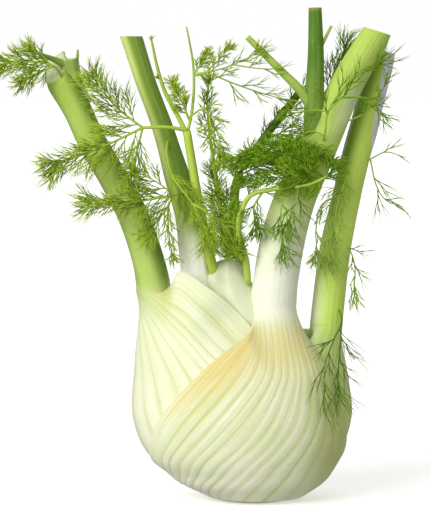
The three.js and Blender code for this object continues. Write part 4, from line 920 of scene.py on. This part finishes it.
threadLook = {
    "branch": (0.34, 0.2), "leaflet": (0.27, 0.1), "fork": (0.23, 0.08),  # half thickness at foot and tip, mm
    "needle": 9.5, "needles": 6, "forks": 2,  # length in mm, number to 10 mm of branch, forks of each
    "needleAngle": (12, 30), "forkAngle": (7, 19), "branchAngle": (46, 16),  # degrees
    "fullness": 1.15, "curl": 0.08, "droop": 0.04,
}
frontward = np.array([0.0, -1.0, 0.0])


def growThread(threads, start, direction, size, radii, bends, rng, tips, hue):
    # One curved tapering thread. It isn't grown where a stalk is in its way.
    sideways = unit(np.cross(direction, [rng.uniform(-1, 1), rng.uniform(-1, 1), rng.uniform(-1, 1)]))
    curl = sideways * size * threadLook["curl"] * rng.uniform(-1, 1)
    s = np.linspace(0, 1, bends + 1)[:, None]
    points = start + direction * size * s + curl * s * s
    points[:, 2] -= threadLook["droop"] * size * s[:, 0] ** 2
    if blocked(points[-1]) or blocked(points[bends // 2]):
        return None
    threads.append((points, radii, tips, hue))
    return points


def growBranch(threads, base, direction, size, rng, look):
    # A side branch with long needles on both sides, each needle forked once or twice near its foot.
    hue = rng.random()
    main = growThread(threads, base, direction, size, look["branch"], 5, rng, (0.1, 0.8), hue)
    if main is None:
        return

    def aside(line, at, angle, wobble):  # a place along a thread, and a way that turns off it
        i = min(int(at * (len(line) - 1)), len(line) - 2)
        ahead = unit(line[i + 1] - line[i])
        sideways = unit(np.cross(ahead, frontward))
        way = ahead * math.cos(angle) + sideways * math.sin(angle) + frontward * rng.uniform(-wobble, wobble)
        return mix(line[i], line[i + 1], at * (len(line) - 1) - i), unit(way)

    count = max(3, int(round(look["needles"] * size / 10)))
    for k in range(count):
        at = mix(0.1, 0.92, (k + rng.random() * 0.6) / count)
        angle = math.radians(rng.uniform(*look["needleAngle"])) * (1 if k % 2 else -1)
        start, way = aside(main, at, angle, 0.3)
        small = look["needle"] * min(1, size / 9) * mix(1.0, 0.72, at) * rng.uniform(0.65, 1.15)
        leaflet = growThread(threads, start, way, small, look["leaflet"], 3, rng, (0.3, 0.9), hue)
        if leaflet is None:
            continue
        for f in range(look["forks"]):
            at = mix(0.15, 0.6, (f + rng.random() * 0.7) / look["forks"])
            angle = math.radians(rng.uniform(*look["forkAngle"])) * (1 if f % 2 else -1)
            foot, way = aside(leaflet, at, angle, 0.25)
            growThread(threads, foot, way, small * rng.uniform(0.55, 0.85), look["fork"], 2, rng, (0.5, 1.0), hue)


def growSpray(threads, spray, rng):
    look = dict(threadLook, **spray["look"])
    steps = 60
    path = evenPath(spray["path"], steps + 1)
    branches = int(round(spray["branches"] * look["fullness"] * threadDensity))
    if not branches:
        return
    for i in range(branches):
        t = mix(spray["first"], 1, (i + 0.5) / branches)
        at = min(int(t * steps), steps - 1)
        base = mix(path[at], path[at + 1], t * steps - at)
        along = unit(path[at + 1] - path[at])
        across = unit(np.cross(along, frontward))
        spread = math.radians(mix(*look["branchAngle"], t) * rng.uniform(0.6, 1.2))
        direction = unit(along * math.cos(spread) + across * (math.sin(spread) * (1 if i % 2 else -1))
                         + frontward * (rng.uniform(-0.45, 0.55) * spray["depth"]))
        size = spray["reach"] * mix(1.1, 0.7, t) * rng.uniform(0.75, 1.15)
        growBranch(threads, base, direction, size, rng, look)
    along = unit(path[-1] - path[-2])
    out = unit(np.cross(along, frontward))
    tips = spray["tips"] + 1
    for k in range(tips):
        fan = (k - (tips - 1) / 2) * 0.4
        direction = unit(along + out * fan + frontward * rng.uniform(-0.3, 0.3))
        growBranch(threads, path[-1] - along * 0.3, direction, spray["reach"] * 0.75, rng, look)


def threadRings(points, radii, sides):
    # points [threads, bends, 3] become rings. Returns their vertices, and one thread's wall faces.
    count, bends = points.shape[:2]
    ahead = unit(np.gradient(points, axis=1))
    helper = np.where(np.abs(ahead[..., 2:]) > 0.9, [1.0, 0, 0], [0, 0, 1.0])
    e1 = unit(np.cross(ahead, helper))
    e2 = np.cross(ahead, e1)
    turn = 2 * math.pi * np.arange(sides) / sides
    rings = points[:, :, None, :] + radii[:, :, None, None] * (
        e1[:, :, None, :] * np.cos(turn)[:, None] + e2[:, :, None, :] * np.sin(turn)[:, None])
    k = np.arange(sides)
    n = (k + 1) % sides
    square = np.stack([k, n, sides + n, sides + k], -1)
    walls = np.concatenate([square + b * sides for b in range(bends - 1)])
    return rings.reshape(count, bends * sides, 3), walls


def makeFrond(name, frond):
    rng = random.Random(frond["seed"])
    threads, byLength, batches = [], {}, []
    for spray in frond["sprays"]:
        growSpray(threads, spray, rng)
    for thread in threads:
        byLength.setdefault(len(thread[0]), []).append(thread)
    for length, group in byLength.items():
        share = np.linspace(0, 1, length)
        points = np.array([t[0] for t in group])
        radii, tip = [np.array([mix(*t[k], share) for t in group]) for k in (1, 2)]
        hue = np.array([np.full(length, t[3]) for t in group])
        batches.append((points, radii, tip, hue, 0 * tip, 3))
    share = np.linspace(0, 1, 26)[None]
    for spray in frond["sprays"]:
        stem = np.clip(mix(*spray["tone"], share), 0, 1)
        path = evenPath(spray["path"], share.size)[None]
        batches.append((path, mix(*spray["radius"], share), 0.3 * share, 0.6 + 0 * share, stem, 8))
    vertices, faces, first = [], [], 0
    masks = {"tip": [], "hue": [], "stem": []}
    for points, radii, *values, sides in batches:
        rings, walls = threadRings(points, radii, sides)
        count, perThread = rings.shape[:2]
        offsets = first + np.arange(count) * perThread
        faces.extend((walls[None] + offsets[:, None, None]).reshape(-1, 4).tolist())
        ends = [list(range(sides))[::-1], list(range(perThread - sides, perThread))]
        faces.extend([offset + i for i in end] for offset in offsets.tolist() for end in ends)
        vertices.append(rings.reshape(-1, 3))
        for store, value in zip(masks.values(), values):
            store.append(np.repeat(value.ravel(), sides))
        first += count * perThread
    mesh = bpy.data.meshes.new(name)
    mesh.from_pydata(np.concatenate(vertices) * metre, [], faces)
    for key, values in masks.items():
        layer = mesh.attributes.new(key, "FLOAT", "POINT")
        layer.data.foreach_set("value", np.concatenate(values).astype(np.float32))
    mesh.materials.append(frond["material"])
    mesh.shade_smooth()
    piece = bpy.data.objects.new(name, mesh)
    bpy.context.scene.collection.objects.link(piece)
    finishPiece(piece, "foliage", frond["node"])


def spray(path, branches=0, reach=0, **changes):  # how many side branches, and how far they reach in mm
    return dict({
        "path": path, "branches": branches, "reach": reach, "radius": (0.6, 0.35), "first": 0.2, "tips": 3,
        "depth": 0.9, "tone": (0.6, 0.2), "look": {},
    }, **changes)


sparse = {"needles": 1.5, "forks": 1, "needle": 15, "fullness": 0.8}
wispy = {"needles": 2.4, "forks": 1, "needle": 12, "fullness": 0.75}
tufted = {"needles": 8, "forks": 2, "needle": 6.5, "fullness": 1.8}

fronds = {
    "leftTopFrond": {
        "node": "frond_left_top", "seed": 11, "material": leafGreen, "sprays": [
            spray([[-86.5, -2, 192.5], [-90.5, -8, 199], [-101, -10, 201.5], [-111, -10, 201]], 11, 11,
                radius=(0.7, 0.3), first=0.35),
            spray([[-91, -8.6, 199.7], [-97, -9, 196.5], [-103, -9, 193.5]], 6, 8),
            spray([[-92, -8.6, 199.7], [-96, -9, 204], [-100, -9, 207]], 4, 7),
        ],
    },
    "youngLeftLeaf": {
        "node": "young_leaf_left", "seed": 23, "material": leafGreen, "sprays": [
            spray([[-17.5, -6, 103], [-19.5, -10, 112], [-22.5, -12, 126], [-25, -12.5, 138],
                [-30.3, -12.5, 170]], radius=(2.3, 1.9), tone=(1.0, 0.85)),
            spray([[-30.6, -12.5, 169], [-34, -12, 176], [-40.3, -11.5, 188], [-43.7, -10.5, 199],
                [-46.2, -9.5, 210.7]], 1, 3, radius=(1.25, 0.5), tips=1, tone=(0.9, 0.1)),
            spray([[-30.3, -12.5, 168], [-28.3, -12.5, 177], [-27.1, -12.5, 188], [-27.4, -12.5, 200],
                [-29, -12.5, 210], [-30.4, -12.5, 217]], radius=(0.8, 0.35), tone=(0.8, 0.0)),
            spray([[-27.3, -12.5, 196], [-24, -13, 200], [-21.5, -13, 204]], 5, 5.5, look=tufted),
            spray([[-27.1, -12.5, 195], [-19.8, -14, 195.5], [-9, -14, 191.5], [1, -14, 188],
                [13, -14, 184.5]], 8, 11, radius=(0.42, 0.2), tips=1, look=wispy, tone=(0, 0)),
            spray([[-27.3, -12.5, 195.5], [-15, -14, 198], [-8, -14, 200.5], [0, -14, 204.5]], 7, 8,
                radius=(0.4, 0.2), tips=2, look=wispy),
            spray([[-9, -14, 200], [0, -14, 198.5], [8, -14, 198]], 3, 8, radius=(0.35, 0.2), tips=1,
                look=wispy),
            spray([[-21, -13.4, 197], [-15, -13, 203], [-12, -13, 206.5]], 5, 5, radius=(0.4, 0.2)),
            spray([[-28.8, -12.5, 174], [-32, -14, 182], [-35.5, -14, 190]], 8, 7.5, look=tufted),
            spray([[-30.3, -13, 170.5], [-40, -16, 171.8], [-50.6, -17, 171.6]], radius=(0.95, 0.7),
                tone=(0.9, 0.7)),
            spray([[-50.2, -17, 171.6], [-61, -19, 180], [-70, -19, 190]], 10, 14, first=0.05),
            spray([[-50.2, -17, 171.6], [-66, -21, 164], [-86, -20, 156]], 14, 15, first=0.05),
            spray([[-50.2, -17, 171.6], [-53, -18, 160], [-55, -18, 152]], 5, 10),
            spray([[-28.3, -12.5, 177], [-23, -14, 180], [-20.5, -14, 178], [-19, -14, 168], [-16, -14, 161]],
                10, 9, radius=(0.5, 0.3)),
        ],
    },
    "youngCentreLeaf": {
        "node": "young_leaf_centre", "seed": 37, "material": leafGreen, "sprays": [
            spray([[-11, 4, 104], [-12, 3, 116], [-14.5, 1, 131], [-17, -1, 147]], 22, 11, radius=(1.6, 0.9),
                first=0.12, depth=1.6, tips=1, look={"fullness": 1.3}),
            spray([[-17, -1, 146.5], [-18.6, -2, 160], [-20.5, -2, 173], [-21, -2, 182], [-20.5, -2, 191]], 12,
                7.5, radius=(0.75, 0.35), first=0.4),
            spray([[-14.2, 1.2, 129], [-11, -8, 135], [-9, -14, 132], [-9, -17, 124], [-9.5, -17, 114]], 12, 8,
                look={"fullness": 1.4}),
        ],
    },
    "youngRightLeaf": {
        "node": "young_leaf_right", "seed": 41, "material": deepGreen, "sprays": [
            spray([[-3.2, 5, 99], [-6.9, 4.5, 115], [-8.7, 4, 131], [-7, 2.5, 148], [4, 2, 165],
                [14.7, 3, 179], [22, 4, 188]], 10, 11, radius=(2.5, 1.7), first=0.35, tips=0, depth=1.4,
                tone=(1.6, -0.9)),
            spray([[4, 2, 165], [12, 6, 168], [20, 8, 166]], 6, 12),
            spray([[16, 3, 181], [18, 0, 176], [17.5, -2, 168]], 3, 7, radius=(0.4, 0.2), look=wispy),
        ],
    },
    "rightFrontFrond": {
        "node": "frond_right_front", "seed": 53, "material": clumpGreen, "sprays": [
            spray([[-2.6, -8, 100], [-3.6, -13, 112], [-7, -19, 126], [-2, -24, 141], [8, -25, 144],
                [24, -26, 146], [33, -26, 150]], 5, 9, radius=(1.8, 0.65), first=0.5, tone=(1.2, 0.7)),
            spray([[-3.2, -12, 109], [-7, -17, 116], [-9, -19, 126], [-9, -20, 134]], 14, 7, first=0.1,
                look=tufted),
            spray([[27, -26, 146.8], [22, -27, 155], [8, -26, 161], [-6, -25, 157]], 26, 10,
                radius=(0.4, 0.25), tone=(0, 0), first=0.0, depth=1.4, look=tufted),
            spray([[-6.5, 2.5, 149], [-4, -10, 151], [2, -18, 154], [12, -22, 158], [26, -23, 161],
                [35, -23, 157]], 19, 9, radius=(0.5, 0.25), tone=(0, 0), first=0.3, depth=1.4, look=tufted),
            spray([[33.1, -25.8, 150], [24, -25.5, 148.5], [10, -24, 149.5], [-3, -18, 148]], 17, 8.5,
                radius=(0.4, 0.25), tone=(0, 0), first=0, depth=1.3, look=tufted),
            spray([[14, -25.5, 145], [12, -25.5, 132], [13.5, -25, 119]], 6, 10, radius=(0.35, 0.2), depth=0.5,
                look=wispy),
            spray([[20, -26, 146], [19, -26, 138], [16, -25.5, 130]], 6, 10, radius=(0.35, 0.2), depth=0.5,
                look=dict(wispy, needles=3)),
            spray([[4, -24.5, 143], [0, -24, 136], [1, -22, 129]], 6, 9, look={"fullness": 0.9}),
        ],
    },
    "leftLowFrond": {
        "node": "frond_left_low", "seed": 61, "material": leafGreen, "sprays": [
            spray([[-31.8, -4, 141.5], [-35, -12, 141], [-42, -16, 140], [-56, -19, 138], [-70, -20, 138]], 14,
                13, radius=(0.7, 0.35), first=0.25),
            spray([[-36, -13, 141], [-41, -16, 133], [-46, -17, 126]], 6, 10, radius=(0.45, 0.25)),
            spray([[-36, -13, 141], [-44, -15, 147], [-52, -16, 151]], 5, 9, radius=(0.45, 0.25)),
            spray([[-39, -15, 136], [-38.5, -16, 124], [-37, -16, 115]], 5, 6, radius=(0.4, 0.25)),
        ],
    },
    "leftStalkFrond": {
        "node": "frond_over_left_stalk", "seed": 71, "material": leafGreen, "sprays": [
            spray([[-39, -3, 166], [-39.5, -10.5, 160], [-37, -12.5, 150], [-32.5, -14, 143.5],
                [-27.5, -16.5, 137], [-24, -18, 130.5], [-21.5, -19, 125]], 12, 13, radius=(0.8, 0.4),
                first=0.35, depth=0.6),
            spray([[-27.5, -16.5, 137], [-22, -18, 134], [-16, -18.5, 126], [-12, -18.5, 118]], 7, 11,
                depth=0.6),
        ],
    },
    "rightSideFrond": {
        "node": "frond_right_side", "seed": 83, "material": paleGreen, "sprays": [
            spray([[44.6, 5, 151], [43.2, -3, 149], [39, -8, 139], [36.5, -9, 127], [35, -9, 113]], 11, 12,
                radius=(0.6, 0.3), first=0.2, depth=0.7, look={"forks": 1}),
            spray([[40, -7, 141], [31, -9, 136], [28.5, -10, 125], [29, -10, 115]], 4, 8, radius=(0.45, 0.25),
                look={"fullness": 0.9}),
        ],
    },
    "rightEdgeFrond": {
        "node": "frond_right_edge", "seed": 97, "material": leafGreen, "sprays": [
            spray([[49, 8, 154.5], [54.5, 4, 157], [61, 3, 160], [70, 2, 157.5]], 3, 9, radius=(0.45, 0.2),
                first=0.4, tips=2, look=wispy),
            spray([[54, 4.2, 156.6], [57, 3, 144], [61, 2, 138], [68, 2, 135]], 6, 10, radius=(0.42, 0.2),
                tips=2, look=wispy),
        ],
    },
    "rightLowFrond": {
        "node": "frond_right_low", "seed": 99, "material": leafGreen, "sprays": [
            spray([[39.6, 6, 119], [44.5, 0, 115], [46.8, -1, 107], [46.5, -2, 97]], 7, 9, radius=(0.42, 0.2),
                tips=2, look=wispy),
        ],
    },
    "hangingFrond": {
        "node": "frond_hanging_low", "seed": 101, "material": deepGreen, "sprays": [
            spray([[38, 2, 90], [40.5, -9, 84], [36, -21, 75], [32, -28, 65], [31.5, -31, 54]], 6, 13,
                radius=(0.42, 0.2), first=0.3, tips=0, depth=0.15, tone=(0.1, 0), look=sparse),
            spray([[40.5, -9, 84], [39.5, -16, 73], [38.5, -21, 64], [38, -24.5, 55]], 6, 11,
                radius=(0.4, 0.2), tips=1, depth=0.15, tone=(0.1, 0), look=sparse),
        ],
    },
    "behindRightFrond": {
        "node": "frond_behind_right", "seed": 113, "material": clumpGreen, "sprays": [
            spray([[33, -4, 178], [33.5, 4, 184], [37, 6, 196], [42, 6, 206]], 12, 12, radius=(0.7, 0.3),
                depth=1.2, look={"needles": 5}),
        ],
    },
    "rightStalkFrond": {
        "node": "frond_over_right_stalk", "seed": 127, "material": clumpGreen, "sprays": [
            spray([[31, -12, 164], [32, -19, 168], [33.5, -20.5, 179], [41, -21, 190], [48, -20, 196],
                [55, -18, 200]], 9, 11, radius=(0.5, 0.2), first=0.3, tips=2, look=wispy),
            spray([[33.5, -20.5, 179], [40, -21, 185], [47, -21, 185.5], [53, -19, 184], [57, -18, 179]], 6, 9,
                radius=(0.4, 0.2), tips=1, look=wispy),
            spray([[33.5, -20.5, 179], [26, -20, 179.5], [18, -19, 178]], 5, 8, radius=(0.4, 0.25), tips=1,
                look=wispy),
            spray([[32, -19, 168], [26, -20, 170], [17, -19, 166]], 8, 10, radius=(0.4, 0.25),
                look=dict(wispy, needles=5)),
            spray([[42, -9, 174], [50, -13, 178], [57, -11, 185], [60, -8, 192]], 6, 7, radius=(0.35, 0.2),
                tips=1, look=wispy),
        ],
    },
}

for frondName, frond in fronds.items():
    makeFrond(frondName, frond)
print("fronds made")


# Floor, light and camera.
studio = {
    "floor": srgb(246, 246, 244), "glow": 0.4, "ambient": 0.42, "lens": 180.0, "height": 235.5,
    "target": (-17.5, 0.0, 112.3), "rise": 4.0,
    "lamps": {  # way that the light comes from, its strength, and how soft it is in degrees
        "keyLight": ((-0.74, -0.83, 0.5), 2.35, 42),
        "fillLight": ((0.15, -1.0, 0.2), 0.42, 60),
        "topLight": ((0.1, 0.2, 1.0), 0.4, 60),
    },
}


def makeStudio():
    bpy.ops.mesh.primitive_plane_add(size=40, location=(0, 0, -0.0002))
    floor = bpy.context.object
    floor.name = "floor"
    material, tree, shader = newMaterial("palePaper")
    shader.inputs["Base Color"].default_value = studio["floor"]
    shader.inputs["Roughness"].default_value = 0.9
    shader.inputs["Emission Color"].default_value = (1, 1, 1, 1)
    shader.inputs["Emission Strength"].default_value = studio["glow"]
    floor.data.materials.append(material)
    floor.visible_diffuse = False
    floor.visible_glossy = False
    world = bpy.data.worlds.new("studio")
    bpy.context.scene.world = world
    world.use_nodes = True
    tree = world.node_tree
    background = tree.nodes["Background"]
    background.inputs["Color"].default_value = (1, 1, 1, 1)
    seen = put(tree, "ShaderNodeLightPath", -500, 200)
    feed(tree, remap(tree, seen.outputs["Is Camera Ray"], 0, 1, studio["ambient"], 1.0, -250, 200),
         background.inputs["Strength"])
    for name, (place, power, softness) in studio["lamps"].items():
        bpy.ops.object.light_add(type="SUN", location=place)
        lamp = bpy.context.object
        lamp.name = name
        lamp.data.energy = power
        lamp.data.angle = math.radians(softness)
        lamp.rotation_euler = Vector(place).to_track_quat("Z", "Y").to_euler()
    bpy.context.scene.view_settings.view_transform = "Standard"


def makeCamera():
    target = np.array(studio["target"]) * metre
    distance = studio["height"] * metre * studio["lens"] / 36
    rise = math.radians(studio["rise"])
    place = target + distance * np.array([0, -math.cos(rise), math.sin(rise)])
    bpy.ops.object.camera_add(location=place)
    camera = bpy.context.object
    camera.name = "photoCamera"
    camera.data.lens = studio["lens"]
    camera.data.clip_start = 0.05
    camera.data.clip_end = 20
    camera.rotation_euler = (math.pi / 2 - rise, 0, 0)
    bpy.context.scene.camera = camera


makeStudio()
makeCamera()
print("studio ready")
